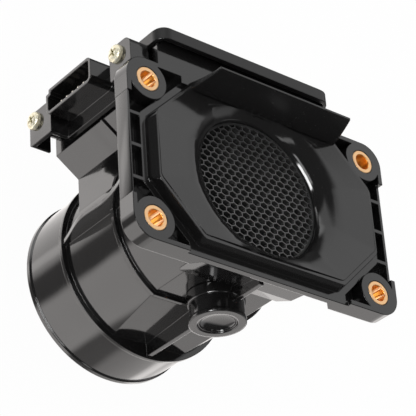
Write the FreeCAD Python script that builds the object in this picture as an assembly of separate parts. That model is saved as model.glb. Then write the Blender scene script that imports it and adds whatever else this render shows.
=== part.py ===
import FreeCAD, Part
import math
import os

V = FreeCAD.Vector

# The meter stands on its round outlet end. Z is the flow axis, out of the inlet and up.
# X runs along the long side of the inlet flange and Y points to the electronics box.

# Flange that bolts to the air filter box
BOLT_SPACING_X = 110.0
BOLT_SPACING_Y = 61.1
BOLT_CENTRE_Y = -1.3
BODY_LENGTH = 105.0
FLANGE_MARGIN_X = 10.0
FLANGE_MARGIN_Y = 9.25
FLANGE_CORNER_R = 9.2
FLANGE_DEPTH = 8.0
FLANGE_WALL = 2.0
FLANGE_FLOOR = 2.0
FLANGE_NOTCH_DEPTH = 3.5
FLANGE_NOTCH_HALF_X = 34.2
PAD_R = 8.8
PAD_STEP = 1.8
PAD_WEB_X = 39.5
PAD_WEB_Y = 22.5
SIDE_RIB_PITCH = 14.2
SIDE_RIB_WALL = 1.6
SIDE_RECESS = 0.8

# Eight-sided collar, raised rim and bell mouth
COLLAR_HALF_X = 58.6
COLLAR_HALF_Y = 35.8
COLLAR_CORNER_SUM = 73.7
RIM_HALF_X = 54.2
RIM_HALF_Y = 34.4
RIM_CORNER_SUM = 68.8
RIM_HEIGHT = 2.8
RIM_FOOT = 2.2
RIM_LIP = 0.7
RIM_CORNER_R = 3.0
THROAT_R = 30.5
BELL_DEPTH = 4.7

# Hood above the mouth
HOOD_REACH = 17.5
HOOD_TIP_HALF_X = 33.0
HOOD_ROOT_HALF_X = 36.6
HOOD_SWELL_Z = 7.0
HOOD_ROOT_DROP = 0.5
HOOD_TIP_DROP = 0.9
HOOD_TIP_WALL = 0.9
HOOD_THROAT_STEP = 0.9

# Round body, outlet spigot and ribs
BODY_R = 39.2
BODY_WALL = 2.5
SPIGOT_STEP = 1.1
SPIGOT_WALL = 3.1
SPIGOT_LENGTH = 25.6
BEAD_HEIGHT = 0.6
BEAD_LENGTH = 3.4
BEAD_CHAMFER = 0.9
FLAT_DEPTH = 6.7
FLAT_LEAN = 2.7
RING_HEIGHT = 2.2
RING_WIDTH = 1.8
UPPER_RING_HEIGHT = 1.5
UPPER_RING_RISE = 34.1
FIN_WALL = 2.0
FOOT_FIN_HEIGHT = 8.1
# Height of the side fin's edge above the body, and its share of the way to the flange
FIN_PROFILE = [(1.4, 0.0), (4.4, 0.144), (7.4, 0.309), (7.0, 0.4475), (8.4, 0.613), (13.3, 0.807), (20.8, 1.0)]
RAMP_HALF_X = 24.0
# Depth of the ramp below the flat, and its distance behind the flange
RAMP_PROFILE = [(0.0, 18.0), (3.7, 9.5), (4.8, 0.5), (8.4, -3.6)]

# Measuring tube inside the body
SEAT_STEP = 3.0
SEAT_DEPTH = 18.5
TUBE_WALL = 2.2
TUBE_END_RISE = 14.0
TUBE_WEBS = 6
WEB_WALL = 1.6

# Honeycomb and vortex generator
COMB_DEPTH = 12.5
COMB_FRONT_DROP = 6.0
COMB_PITCH_X = 3.876
COMB_ROW_PITCH = 2.538
COMB_CELL_WALL = 0.42
COMB_RING_WALL = 0.8
COMB_RING_SIDES = 48
COMB_SMALLEST_CELL = 1.5
FIT_GAP = 0.25
WEDGE_WIDTH = 11.0
WEDGE_LENGTH = 8.0
WEDGE_DROP = 2.5
TAIL_WIDTH = 6.0
TAIL_LENGTH = 3.0
TAIL_GAP = 2.5
VANE_WALL = 1.4

# Electronics box on the +Y side and its lid
BOX_LEFT_X = -48.0
BOX_RIGHT_X = 33.0
BOX_HEIGHT = 11.4
BOX_END_GAP = 8.4
BOX_WALL = 2.2
BOX_FRONT_WALL = 3.0
APRON_LEFT_REACH = 1.6
APRON_RIGHT_REACH = 2.0
BOX_SLOPE_TOP_DROP = 4.6
BOX_SLOPE_FOOT_DROP = 12.2
BOX_NECK_INSET = 1.8
BOX_NECK_FOOT_Y = 8.0
COVER_LEFT_REACH = 2.9
COVER_RIGHT_REACH = 3.8
COVER_FRONT_REACH = 4.4
COVER_END_REACH = 2.8
COVER_SKIRT = 2.1
COVER_RISE = 3.8
COVER_WALL = 2.0
COVER_CORNER_R = 5.5
COVER_INNER_CORNER_R = 2.2
COVER_CHAMFER = 0.9

# Connector plate on the -X side of the box
SEAL_THICKNESS = 1.2
PLATE_WALL = 2.3
PLATE_HEIGHT = 12.8
PLATE_TOP_DROP = 0.6
EAR_REACH = 8.5
EAR_SEAT = 0.3
EAR_HEIGHT = 15.1
EAR_TOP_DROP = 0.3
EAR_TOP_R = 4.0
EAR_FOOT_R = 0.8
EAR_WALL = 1.8
REAR_EAR_START = 1.0
REAR_EAR_LENGTH = 14.8
REAR_SCREW_RISE = 3.1
FRONT_EAR_BACK = 9.0
FRONT_EAR_FRONT = 3.5
FRONT_SCREW_BACK = 3.9
SCREW_DROP = 5.0
SCREW_HEAD_R = 3.75
SCREW_HEAD_HEIGHT = 2.5
SCREW_HEAD_CROWN = 0.9
SCREW_SHANK_R = 2.0
SCREW_BOSS_R = 4.2
SCREW_RECESS_WIDTH = 0.9
SCREW_RECESS_LENGTH = 4.0
SCREW_RECESS_DEPTH = 1.5
SCREW_RECESS_TURN = 20.0
SHROUD_REACH = 10.5
SHROUD_FOOT_DROP = 9.0
SHROUD_RISE = 2.6
SHROUD_START = 13.6
SHROUD_LENGTH = 30.6
SHROUD_WALL = 1.3
SHROUD_FLOOR = 1.4
SHROUD_CORNER_R = 2.6
SHROUD_KEY_R = 0.5
SHROUD_KEY = 1.9
WINDOW_MARGIN = 4.0
TERMINAL_COUNT = 5
TERMINAL_PITCH = 3.8
TERMINAL_DROP = 4.5
TERMINAL_SETBACK = 3.8
TERMINAL_OFFSET_Z = -0.9
TERMINAL_WIDTH = 1.2
TERMINAL_THICKNESS = 0.8
TERMINAL_FOOT_GAP = 4.0
TERMINAL_END = 1.5

# Brass inserts
INSERT_R = 5.25
INSERT_BORE_R = 3.3
PRESS_GAP = 0.02

# Bypass stub on the -Y side
STUB_RISE = 11.0
STUB_R = 10.9
STUB_REACH = 12.8
STUB_FLOOR = 2.8
STUB_RIM_STEP = 0.5
STUB_RIM_HEIGHT = 1.6
STUB_WALL = 3.0
PLUG_DISH_DEPTH = 2.6
PLUG_SETBACK = 0.3
PLUG_LENGTH = 4.7
PLUG_RIM = 1.0
BYPASS_SCREW_GAP = 0.6
BYPASS_SCREW_LENGTH = 6.4
BYPASS_NECK_R = 6.0
BYPASS_NECK_START = 2.0
BYPASS_NECK_WIDTH = 2.0
BYPASS_SLOT_WIDTH = 1.6
BYPASS_SLOT_DEPTH = 1.4
SLIDE_GAP = 0.05

# Circuit board and what it carries
BOARD_DROP = 7.0
BOARD_THICKNESS = 1.6
BOARD_GAP = 1.2
BOARD_SCREW_INSET = 5.0
BOARD_SCREW_FRONT_INSET = 11.0
BOARD_SCREW_HEAD_R = 2.6
BOARD_SCREW_HEAD_HEIGHT = 1.8
BOARD_SCREW_R = 1.25
BOARD_SCREW_LENGTH = 5.0
POST_WIDTH = 6.0
PROBE_X = 14.0
PROBE_DROP = 8.0
PROBE_R = 2.4
PROBE_REACH = 23.6
PROBE_LEAD_R = 1.3
PORT_X = -8.0
PORT_DROP = 6.0
PORT_BORE_R = 1.5
PORT_WALL = 2.0
CAPSULE_R = 5.2
CAPSULE_HEIGHT = 4.0
NIPPLE_LENGTH = 3.0
CHIP_INSET_X = 39.6
CHIP_INSET_Z = 17.8
CHIP_SIZE = 14.0
CHIP_HEIGHT = 2.4
LEAD_COUNT = 6
LEAD_PITCH = 2.2
LEAD_REACH = 2.0
LEAD_WIDTH = 0.8
LEAD_THICKNESS = 0.4
AIR_SENSOR_INSET_X = 12.6
AIR_SENSOR_INSET_Z = 29.6
AIR_SENSOR_SIZE = 10.0
AIR_SENSOR_HEIGHT = 2.6
AIR_SENSOR_PORT_R = 1.6
AIR_SENSOR_PORT_HEIGHT = 2.0
AIR_SENSOR_HOLE_R = 0.6
CAPACITOR_INSET_X = 14.6
CAPACITOR_INSET_Z = 12.6
CAPACITOR_PITCH = 10.0
CAPACITOR_R = 3.1
CAPACITOR_HEIGHT = 5.0

# Heights along the flow axis
CUT = 1.0
PAD_Z = BODY_LENGTH
FLANGE_BACK_Z = BODY_LENGTH - FLANGE_DEPTH
FACE_Z = BODY_LENGTH - PAD_STEP
RIM_Z = BODY_LENGTH + RIM_HEIGHT
THROAT_Z = RIM_Z - BELL_DEPTH
COMB_FRONT_Z = BODY_LENGTH - COMB_FRONT_DROP
COMB_BACK_Z = COMB_FRONT_Z - COMB_DEPTH
SEAT_Z = COMB_BACK_Z - SEAT_DEPTH
SHOULDER_RING_Z = SPIGOT_LENGTH
UPPER_RING_Z = SHOULDER_RING_Z + UPPER_RING_RISE
STUB_Z = UPPER_RING_Z + STUB_RISE
BOX_END_Z = SHOULDER_RING_Z + BOX_END_GAP
TUBE_END_Z = BOX_END_Z + TUBE_END_RISE
COVER_FRONT_Z = PAD_Z + COVER_FRONT_REACH
COVER_END_Z = BOX_END_Z - COVER_END_REACH
REAR_EAR_Z0 = BOX_END_Z - REAR_EAR_START
REAR_EAR_Z1 = REAR_EAR_Z0 + REAR_EAR_LENGTH
REAR_SCREW_Z = BOX_END_Z + REAR_SCREW_RISE
FRONT_EAR_Z0 = FLANGE_BACK_Z - FRONT_EAR_BACK
FRONT_EAR_Z1 = PAD_Z - FRONT_EAR_FRONT
FRONT_SCREW_Z = FLANGE_BACK_Z - FRONT_SCREW_BACK
SHROUD_Z0 = BOX_END_Z + SHROUD_START
SHROUD_Z1 = SHROUD_Z0 + SHROUD_LENGTH
TERMINAL_ROW_Z = (SHROUD_Z0 + SHROUD_Z1) / 2 + TERMINAL_OFFSET_Z
PROBE_Z = TUBE_END_Z - PROBE_DROP
PORT_Z = SEAT_Z - PORT_DROP

# Heights on the box side and on the flat side
BOX_TOP_Y = BODY_R + BOX_HEIGHT
COVER_FOOT_Y = BOX_TOP_Y - COVER_SKIRT
COVER_TOP_Y = BOX_TOP_Y + COVER_RISE
PLATE_TOP_Y = COVER_FOOT_Y - PLATE_TOP_DROP
PLATE_FOOT_Y = PLATE_TOP_Y - PLATE_HEIGHT
EAR_TOP_Y = BOX_TOP_Y - EAR_TOP_DROP
EAR_FOOT_Y = EAR_TOP_Y - EAR_HEIGHT
SCREW_Y = BOX_TOP_Y - SCREW_DROP
SHROUD_FOOT_Y = BOX_TOP_Y - SHROUD_FOOT_DROP
SHROUD_TOP_Y = BOX_TOP_Y + SHROUD_RISE
TERMINAL_Y = BOX_TOP_Y - TERMINAL_DROP
BOARD_Y = BOX_TOP_Y - BOARD_DROP
BOARD_TOP_Y = BOARD_Y + BOARD_THICKNESS
FLAT_Y = -(BODY_R - FLAT_DEPTH)
FLAT_FOOT_Y = FLAT_Y - FLAT_LEAN
FOOT_FIN_Y = FLAT_Y - FOOT_FIN_HEIGHT
STUB_END_Y = FLAT_Y - STUB_REACH
STUB_FLOOR_Y = FLAT_Y + BODY_WALL - STUB_FLOOR

# Radii and sideways places
FLANGE_HALF_X = BOLT_SPACING_X / 2 + FLANGE_MARGIN_X
FLANGE_HALF_Y = BOLT_SPACING_Y / 2 + FLANGE_MARGIN_Y
FLANGE_LOW_Y = BOLT_CENTRE_Y - FLANGE_HALF_Y
FLANGE_HIGH_Y = BOLT_CENTRE_Y + FLANGE_HALF_Y
BOX_FRONT_FOOT_Y = FLANGE_HIGH_Y - FLANGE_WALL
SPIGOT_R = BODY_R + SPIGOT_STEP
BEAD_R = SPIGOT_R + BEAD_HEIGHT
OUTLET_BORE_R = SPIGOT_R - SPIGOT_WALL
RING_R = BODY_R + RING_HEIGHT
UPPER_RING_R = BODY_R + UPPER_RING_HEIGHT
TUBE_R = THROAT_R - SEAT_STEP
STUB_BORE_R = STUB_R - STUB_WALL
BOX_NECK_X = -(BODY_R - BOX_NECK_INSET)
COVER_LEFT_X = BOX_LEFT_X - COVER_LEFT_REACH
COVER_RIGHT_X = BOX_RIGHT_X + COVER_RIGHT_REACH
PLATE_FACE_X = BOX_LEFT_X - SEAL_THICKNESS - PLATE_WALL
EAR_FACE_X = PLATE_FACE_X - EAR_REACH
EAR_BACK_X = PLATE_FACE_X + EAR_SEAT
SHROUD_FACE_X = PLATE_FACE_X - SHROUD_REACH
TERMINAL_TIP_X = SHROUD_FACE_X + TERMINAL_SETBACK
BOLT_CENTRES = [(sx * BOLT_SPACING_X / 2, BOLT_CENTRE_Y + sy * BOLT_SPACING_Y / 2)
                for sx in (-1, 1) for sy in (-1, 1)]


def block(x0, x1, y0, y1, z0, z1):
    return Part.makeBox(x1 - x0, y1 - y0, z1 - z0, V(x0, y0, z0))


def rod_x(y, z, x0, x1, r):
    return Part.makeCylinder(r, x1 - x0, V(x0, y, z), V(1, 0, 0))


def rod_y(x, z, y0, y1, r):
    return Part.makeCylinder(r, y1 - y0, V(x, y0, z), V(0, 1, 0))


def rod_z(x, y, z0, z1, r):
    return Part.makeCylinder(r, z1 - z0, V(x, y, z0), V(0, 0, 1))


def in_xy(z):
    return lambda u, v: V(u, v, z)


def in_xz(y):
    return lambda u, v: V(u, y, v)


def in_zy(x):
    return lambda u, v: V(x, v, u)


def in_yz(x):
    return lambda u, v: V(x, u, v)


def corner_points(points, index, radius):
    """Start, middle and end of the arc that rounds one corner of an outline."""
    count = len(points)
    here = points[index]
    before = points[index - 1]
    after = points[(index + 1) % count]
    a = (before[0] - here[0], before[1] - here[1])
    b = (after[0] - here[0], after[1] - here[1])
    la = math.hypot(*a)
    lb = math.hypot(*b)
    a = (a[0] / la, a[1] / la)
    b = (b[0] / lb, b[1] / lb)
    half = math.acos(max(-1.0, min(1.0, a[0] * b[0] + a[1] * b[1]))) / 2
    reach = radius / math.tan(half)
    bisector = (a[0] + b[0], a[1] + b[1])
    length = math.hypot(*bisector)
    inset = radius / math.sin(half) - radius
    start = (here[0] + a[0] * reach, here[1] + a[1] * reach)
    end = (here[0] + b[0] * reach, here[1] + b[1] * reach)
    middle = (here[0] + bisector[0] / length * inset, here[1] + bisector[1] / length * inset)
    return start, middle, end


def outline(points, radius, place):
    """Closed wire through 2D points, with each corner rounded by one radius or its own."""
    radii = radius if isinstance(radius, list) else [radius] * len(points)
    edges = []
    arcs = []
    for index, point in enumerate(points):
        if radii[index] > 0:
            arcs.append(corner_points(points, index, radii[index]))
        else:
            arcs.append((point, None, point))
    for index, arc in enumerate(arcs):
        start, middle, end = arc
        if middle is not None:
            edges.append(Part.Arc(place(*start), place(*middle), place(*end)).toShape())
        following = arcs[(index + 1) % len(arcs)][0]
        edges.append(Part.makeLine(place(*end), place(*following)))
    return Part.Wire(edges)


def prism(points, radius, place, way):
    return Part.Face(outline(points, radius, place)).extrude(way)


def rectangle(u0, u1, v0, v1):
    return [(u0, v0), (u1, v0), (u1, v1), (u0, v1)]


def octagon(half_x, half_y, corner_sum):
    """Eight corners about the bolt centre; the slanted sides satisfy |x| + |y| = corner_sum."""
    x_at_top = corner_sum - half_y
    y_at_side = corner_sum - half_x
    corners = [(half_x, -y_at_side), (half_x, y_at_side), (x_at_top, half_y), (-x_at_top, half_y),
               (-half_x, y_at_side), (-half_x, -y_at_side), (-x_at_top, -half_y), (x_at_top, -half_y)]
    return [(x, y + BOLT_CENTRE_Y) for x, y in corners]


def revolve(profile, origin, axis, along):
    """Turned solid: profile holds (radius, distance along the axis) pairs."""
    points = [origin + along * r + axis * h for r, h in profile]
    face = Part.Face(Part.makePolygon(points + [points[0]]))
    return face.revolve(origin, axis, 360)


def fuse(shapes):
    return shapes[0].multiFuse(shapes[1:]).removeSplitter()


def flat_sided(radius, inset, z0, z1):
    """Round bar along Z with the body's flat on its -Y side; the flat leans out below the upper ring."""
    foot = FLAT_FOOT_Y + inset
    top = FLAT_Y + inset
    below = -radius - CUT * 5
    points = [(below, z0 - CUT), (foot, z0 - CUT), (foot, SHOULDER_RING_Z), (top, UPPER_RING_Z), (top, z1 + CUT),
              (below, z1 + CUT)]
    if z0 >= UPPER_RING_Z - RING_WIDTH:
        points = [(below, z0 - CUT), (top, z0 - CUT), (top, z1 + CUT), (below, z1 + CUT)]
    side = prism(points, 0, in_yz(-radius - CUT), V(2 * radius + 2 * CUT, 0, 0))
    return rod_z(0, 0, z0, z1, radius).cut(side)


def flange_outline(inset, place):
    half_x = FLANGE_HALF_X - inset
    half_y = FLANGE_HALF_Y - inset
    points = rectangle(-half_x, half_x, BOLT_CENTRE_Y - half_y, BOLT_CENTRE_Y + half_y)
    return outline(points, FLANGE_CORNER_R - inset, place)


def flange():
    """Tray with an outer wall, corner pads for the inserts, collar and thin side ribs."""
    outer = Part.Face(flange_outline(0, in_xy(FLANGE_BACK_Z)))
    inner = Part.Face(flange_outline(FLANGE_WALL, in_xy(FLANGE_BACK_Z + FLANGE_FLOOR)))
    tray = outer.extrude(V(0, 0, FLANGE_DEPTH))
    tray = tray.cut(inner.extrude(V(0, 0, FLANGE_DEPTH)))
    half_x = FLANGE_HALF_X + CUT
    half_y = FLANGE_HALF_Y + CUT
    for y0, y1, x0, x1 in ((-PAD_WEB_Y, PAD_WEB_Y, -half_x, half_x), (-half_y, 0, -PAD_WEB_X, PAD_WEB_X)):
        tray = tray.cut(block(x0, x1, BOLT_CENTRE_Y + y0, BOLT_CENTRE_Y + y1, FACE_Z, PAD_Z + CUT))
    for side in (-1, 1):
        x0, x1 = sorted((side * (FLANGE_HALF_X - SIDE_RECESS), side * half_x))
        tray = tray.cut(block(x0, x1, BOLT_CENTRE_Y - PAD_WEB_Y, BOLT_CENTRE_Y + PAD_WEB_Y, 0, PAD_Z + CUT))
    web_x = PAD_WEB_X - CUT
    sill = block(-web_x, web_x, FLANGE_LOW_Y, BOLT_CENTRE_Y - COLLAR_HALF_Y + CUT, FLANGE_BACK_Z, FACE_Z)
    head = block(-web_x, web_x, BOLT_CENTRE_Y + COLLAR_HALF_Y - CUT, FLANGE_HIGH_Y, FLANGE_BACK_Z, PAD_Z)
    tray = fuse([tray, sill, head])
    collar = prism(octagon(COLLAR_HALF_X, COLLAR_HALF_Y, COLLAR_CORNER_SUM), RIM_CORNER_R,
                   in_xy(FLANGE_BACK_Z), V(0, 0, FACE_Z - FLANGE_BACK_Z))
    parts = [tray, collar]
    for x, y in BOLT_CENTRES:
        parts.append(rod_z(x, y, FLANGE_BACK_Z, PAD_Z, PAD_R))
    for side in (-1, 1):
        for step in (-1, 0, 1):
            y = BOLT_CENTRE_Y + step * SIDE_RIB_PITCH
            x0, x1 = sorted((side * (COLLAR_HALF_X - CUT), side * (FLANGE_HALF_X - FLANGE_WALL / 2)))
            parts.append(block(x0, x1, y - SIDE_RIB_WALL / 2, y + SIDE_RIB_WALL / 2, FLANGE_BACK_Z, FACE_Z))
    return fuse(parts)


def underside_notch():
    """Long shallow notch in the back of the flange's lower edge, with slanted ends."""
    z0 = FLANGE_BACK_Z - CUT
    z1 = FLANGE_BACK_Z + FLANGE_NOTCH_DEPTH
    wide = FLANGE_NOTCH_HALF_X + CUT
    narrow = FLANGE_NOTCH_HALF_X - FLANGE_NOTCH_DEPTH
    points = [(-wide, z0), (wide, z0), (narrow, z1), (-narrow, z1)]
    y0 = FLANGE_LOW_Y - CUT
    return prism(points, 0, in_xz(y0), V(0, BOLT_CENTRE_Y - COLLAR_HALF_Y - y0, 0))


def underside_ramp():
    """Swelling on the flat that leads up to the flange."""
    inside = FLAT_Y + BODY_WALL / 2
    top = FLANGE_BACK_Z + FLANGE_NOTCH_DEPTH + CUT
    slope = [(FLAT_Y - depth, FLANGE_BACK_Z - back) for depth, back in RAMP_PROFILE]
    points = [(inside, slope[0][1])] + slope + [(slope[-1][0], top), (inside, top)]
    return prism(points, 0, in_yz(-RAMP_HALF_X), V(2 * RAMP_HALF_X, 0, 0))


def rim_keys(inset):
    """Start, middle and end of each arc of the rim, and the middles of its straight sides."""
    points = octagon(RIM_HALF_X - inset, RIM_HALF_Y - inset, RIM_CORNER_SUM - inset * math.sqrt(2))
    arcs = [corner_points(points, index, RIM_CORNER_R) for index in range(len(points))]
    keys = []
    for index, arc in enumerate(arcs):
        following = arcs[(index + 1) % len(arcs)][0]
        middle = ((arc[2][0] + following[0]) / 2, (arc[2][1] + following[1]) / 2)
        keys.append(arc)
        keys.append((arc[2], middle, following))
    return keys


def bell_section(share, z):
    """Closed wire part of the way from the eight-sided rim to the round throat."""
    edges = []
    for key in rim_keys(RIM_LIP):
        spots = []
        for x, y in key:
            reach = math.hypot(x, y)
            round_x = x / reach * THROAT_R
            round_y = y / reach * THROAT_R
            spots.append(V(x + (round_x - x) * share, y + (round_y - y) * share, z))
        edges.append(Part.Arc(*spots).toShape() if bent(spots) else Part.makeLine(spots[0], spots[2]))
    return Part.Wire(edges)


def bent(spots):
    """True if three points don't lie on one line."""
    return (spots[1] - spots[0]).cross(spots[2] - spots[0]).Length > 1e-6


def bell_cut():
    """Air space of the mouth, from the rim's lip to the throat."""
    steps = [(0.0, 0.0), (0.5, 0.25), (0.76, 0.45), (0.9, 0.66), (1.0, 1.0)]
    sections = [bell_section(share, RIM_Z - depth * BELL_DEPTH) for share, depth in steps]
    return Part.makeLoft(sections, True, True)


def rim():
    """Raised rim: its foot is wider than its top edge."""
    foot = outline(octagon(RIM_HALF_X + RIM_FOOT, RIM_HALF_Y + RIM_FOOT / 2, RIM_CORNER_SUM + RIM_FOOT / 2),
                   RIM_CORNER_R, in_xy(FACE_Z))
    top = outline(octagon(RIM_HALF_X, RIM_HALF_Y, RIM_CORNER_SUM), RIM_CORNER_R, in_xy(RIM_Z))
    return Part.makeLoft([foot, top], True, True)


def hood():
    """Thin flared lip that stands out above the mouth."""
    root_y = BOLT_CENTRE_Y + RIM_HALF_Y - HOOD_ROOT_DROP
    tip_y = BOLT_CENTRE_Y + RIM_HALF_Y - HOOD_TIP_DROP
    under_y = THROAT_R - HOOD_THROAT_STEP
    foot_z = THROAT_Z - CUT / 2
    swell_z = RIM_Z + HOOD_SWELL_Z
    tip_z = BODY_LENGTH + HOOD_REACH
    inner = [V(0, under_y, foot_z), V(0, under_y, RIM_Z), V(0, THROAT_R, swell_z), V(0, tip_y, tip_z)]
    outer = [V(0, tip_y + HOOD_TIP_WALL, tip_z), V(0, tip_y, swell_z), V(0, root_y, RIM_Z)]
    under = Part.BSplineCurve()
    under.interpolate(inner)
    over = Part.BSplineCurve()
    over.interpolate(outer)
    foot = V(0, root_y, foot_z)
    edges = [under.toShape(), Part.makeLine(inner[-1], outer[0]), over.toShape(), Part.makeLine(outer[-1], foot),
             Part.makeLine(foot, inner[0])]
    sheet = Part.Face(Part.Wire(edges))
    sheet.translate(V(-HOOD_ROOT_HALF_X, 0, 0))
    lip = sheet.extrude(V(2 * HOOD_ROOT_HALF_X, 0, 0))
    side = [(-HOOD_ROOT_HALF_X, THROAT_Z - CUT), (HOOD_ROOT_HALF_X, THROAT_Z - CUT), (HOOD_ROOT_HALF_X, RIM_Z),
            (HOOD_TIP_HALF_X, tip_z), (-HOOD_TIP_HALF_X, tip_z), (-HOOD_ROOT_HALF_X, RIM_Z)]
    return lip.common(prism(side, 0, in_xz(0), V(0, FLANGE_HIGH_Y, 0)))


def shell_outer():
    """Outside of the round body with its spigot, end bead and ring ribs."""
    spigot = revolve([(0, 0), (BEAD_R - BEAD_CHAMFER, 0), (BEAD_R, BEAD_CHAMFER), (BEAD_R, BEAD_LENGTH - BEAD_HEIGHT),
                      (SPIGOT_R, BEAD_LENGTH), (SPIGOT_R, SPIGOT_LENGTH), (0, SPIGOT_LENGTH)],
                     V(0, 0, 0), V(0, 0, 1), V(1, 0, 0))
    barrel = flat_sided(BODY_R, 0, SHOULDER_RING_Z, FLANGE_BACK_Z + CUT)
    shoulder = rod_z(0, 0, SHOULDER_RING_Z - RING_WIDTH / 2, SHOULDER_RING_Z + RING_WIDTH / 2, RING_R)
    cavity = prism(box_outline(BOX_WALL), 0, in_xy(0), V(0, 0, BODY_LENGTH))
    upper = flat_sided(UPPER_RING_R, -UPPER_RING_HEIGHT, UPPER_RING_Z - RING_WIDTH / 2, UPPER_RING_Z + RING_WIDTH / 2)
    return fuse([spigot, barrel, shoulder, upper.cut(cavity)])


def side_fin(side):
    """Web along the body's side, from the shoulder ring out to the back of the flange."""
    length = FLANGE_BACK_Z + CUT - SHOULDER_RING_Z
    edge = [V(side * (BODY_R + height), 0, SHOULDER_RING_Z + length * share) for height, share in FIN_PROFILE]
    curve = Part.BSplineCurve()
    curve.interpolate(edge)
    inner_x = side * (BODY_R - BODY_WALL / 2)
    low = V(inner_x, 0, SHOULDER_RING_Z)
    high = V(inner_x, 0, FLANGE_BACK_Z + CUT)
    face = Part.Face(Part.Wire([curve.toShape(), Part.makeLine(edge[-1], high), Part.makeLine(high, low),
                                Part.makeLine(low, edge[0])]))
    face.translate(V(0, -FIN_WALL / 2, 0))
    return face.extrude(V(0, FIN_WALL, 0))


def foot_fin():
    """Web under the flat, from the shoulder ring past the stub to the flange."""
    return block(-FIN_WALL / 2, FIN_WALL / 2, FOOT_FIN_Y, FLAT_Y + CUT, SHOULDER_RING_Z, FLANGE_BACK_Z + CUT)


def box_outline(inset):
    """Section of the box across the flow, drawn in by a wall's thickness."""
    left = BOX_LEFT_X + inset
    neck = BOX_NECK_X + inset
    right = BOX_RIGHT_X - inset
    slope_top = BODY_R - BOX_SLOPE_TOP_DROP + inset / 2
    slope_foot = BODY_R - BOX_SLOPE_FOOT_DROP + inset / 2
    return [(left, BOX_TOP_Y), (left, slope_top), (neck, slope_foot), (neck, BOX_NECK_FOOT_Y),
            (right, BOX_NECK_FOOT_Y), (right, BOX_TOP_Y)]


def electronics_box():
    """Box walls; its floor is the round body itself."""
    lower = prism(box_outline(0), 0, in_xy(BOX_END_Z), V(0, 0, FLANGE_BACK_Z - BOX_END_Z))
    front = block(BOX_LEFT_X, BOX_RIGHT_X, BOX_FRONT_FOOT_Y, BOX_TOP_Y, FLANGE_BACK_Z, PAD_Z)
    apron = block(BOX_LEFT_X - APRON_LEFT_REACH, BOX_RIGHT_X + APRON_RIGHT_REACH, BOX_FRONT_FOOT_Y,
                  COVER_FOOT_Y - FIT_GAP, PAD_Z - BOX_FRONT_WALL, PAD_Z)
    cavity = prism(box_outline(BOX_WALL), 0, in_xy(BOX_END_Z + BOX_WALL),
                   V(0, 0, FLANGE_BACK_Z - BOX_END_Z - BOX_WALL))
    top = block(BOX_LEFT_X + BOX_WALL, BOX_RIGHT_X - BOX_WALL, BOX_FRONT_FOOT_Y + BOX_WALL, BOX_TOP_Y + CUT,
                FLANGE_BACK_Z - CUT, PAD_Z - BOX_FRONT_WALL)
    return fuse([lower, front, apron]).cut(cavity).cut(top)


def screw_boss(z):
    """Short boss behind an ear, cut off below the lid's skirt."""
    boss = rod_x(SCREW_Y, z, EAR_BACK_X, BOX_LEFT_X + CUT, SCREW_BOSS_R)
    skirt = block(EAR_BACK_X - CUT, BOX_LEFT_X, COVER_FOOT_Y - FIT_GAP, COVER_TOP_Y, z - 10, z + 10)
    return boss.cut(skirt)


def board_posts():
    """Posts under the board's corners and the two sleeves that reach the measuring tube."""
    half = POST_WIDTH / 2
    posts = [block(x - half, x + half, 0, BOARD_Y, z - half, z + half) for x, z in board_screw_spots()]
    room = prism(box_outline(BOX_WALL / 2), 0, in_xy(BOX_END_Z), V(0, 0, PAD_Z - BOX_FRONT_WALL - BOX_END_Z))
    posts = fuse(posts).common(room).cut(rod_z(0, 0, 0, BODY_LENGTH, BODY_R - CUT))
    port = rod_y(PORT_X, PORT_Z, 0, BOARD_Y - CAPSULE_HEIGHT, PORT_BORE_R + PORT_WALL)
    probe = rod_y(PROBE_X, PROBE_Z, BODY_R - BODY_WALL, BOARD_Y - CUT, PROBE_R + PORT_WALL)
    return [posts, port.cut(rod_z(0, 0, 0, BODY_LENGTH, TUBE_R + TUBE_WALL / 2)), probe]


def board_limits():
    x0 = BOX_LEFT_X + BOX_WALL + BOARD_GAP
    x1 = BOX_RIGHT_X - BOX_WALL - BOARD_GAP
    z0 = BOX_END_Z + BOX_WALL + BOARD_GAP
    z1 = PAD_Z - BOX_FRONT_WALL - BOARD_GAP
    return x0, x1, z0, z1


def board_screw_spots():
    x0, x1, z0, z1 = board_limits()
    return [(x, z) for x in (x0 + BOARD_SCREW_INSET, x1 - BOARD_SCREW_INSET)
            for z in (z0 + BOARD_SCREW_INSET, z1 - BOARD_SCREW_FRONT_INSET)]


def measuring_tube():
    """Inner tube with a wider seat for the honeycomb, held in the shell by webs."""
    tube = rod_z(0, 0, TUBE_END_Z, SEAT_Z + CUT, TUBE_R + TUBE_WALL)
    seat = rod_z(0, 0, SEAT_Z - TUBE_WALL, FLANGE_BACK_Z + CUT, THROAT_R + TUBE_WALL)
    parts = [tube, seat]
    for index in range(TUBE_WEBS):
        web = block(TUBE_R + TUBE_WALL / 2, BODY_R - BODY_WALL / 2, -WEB_WALL / 2, WEB_WALL / 2, TUBE_END_Z,
                    FLANGE_BACK_Z)
        web.rotate(V(0, 0, 0), V(0, 0, 1), (index + 0.5) * 360 / TUBE_WEBS)
        parts.append(web)
    return fuse(parts).common(flat_sided(BODY_R - CUT, CUT, TUBE_END_Z, FLANGE_BACK_Z + CUT))


def stub_outer():
    """Outside of the bypass stub with the rim at its end."""
    stub = rod_y(0, STUB_Z, STUB_END_Y, FLAT_Y + BODY_WALL, STUB_R)
    rim_ring = rod_y(0, STUB_Z, STUB_END_Y, STUB_END_Y + STUB_RIM_HEIGHT, STUB_R + STUB_RIM_STEP)
    return stub.fuse(rim_ring)


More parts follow.
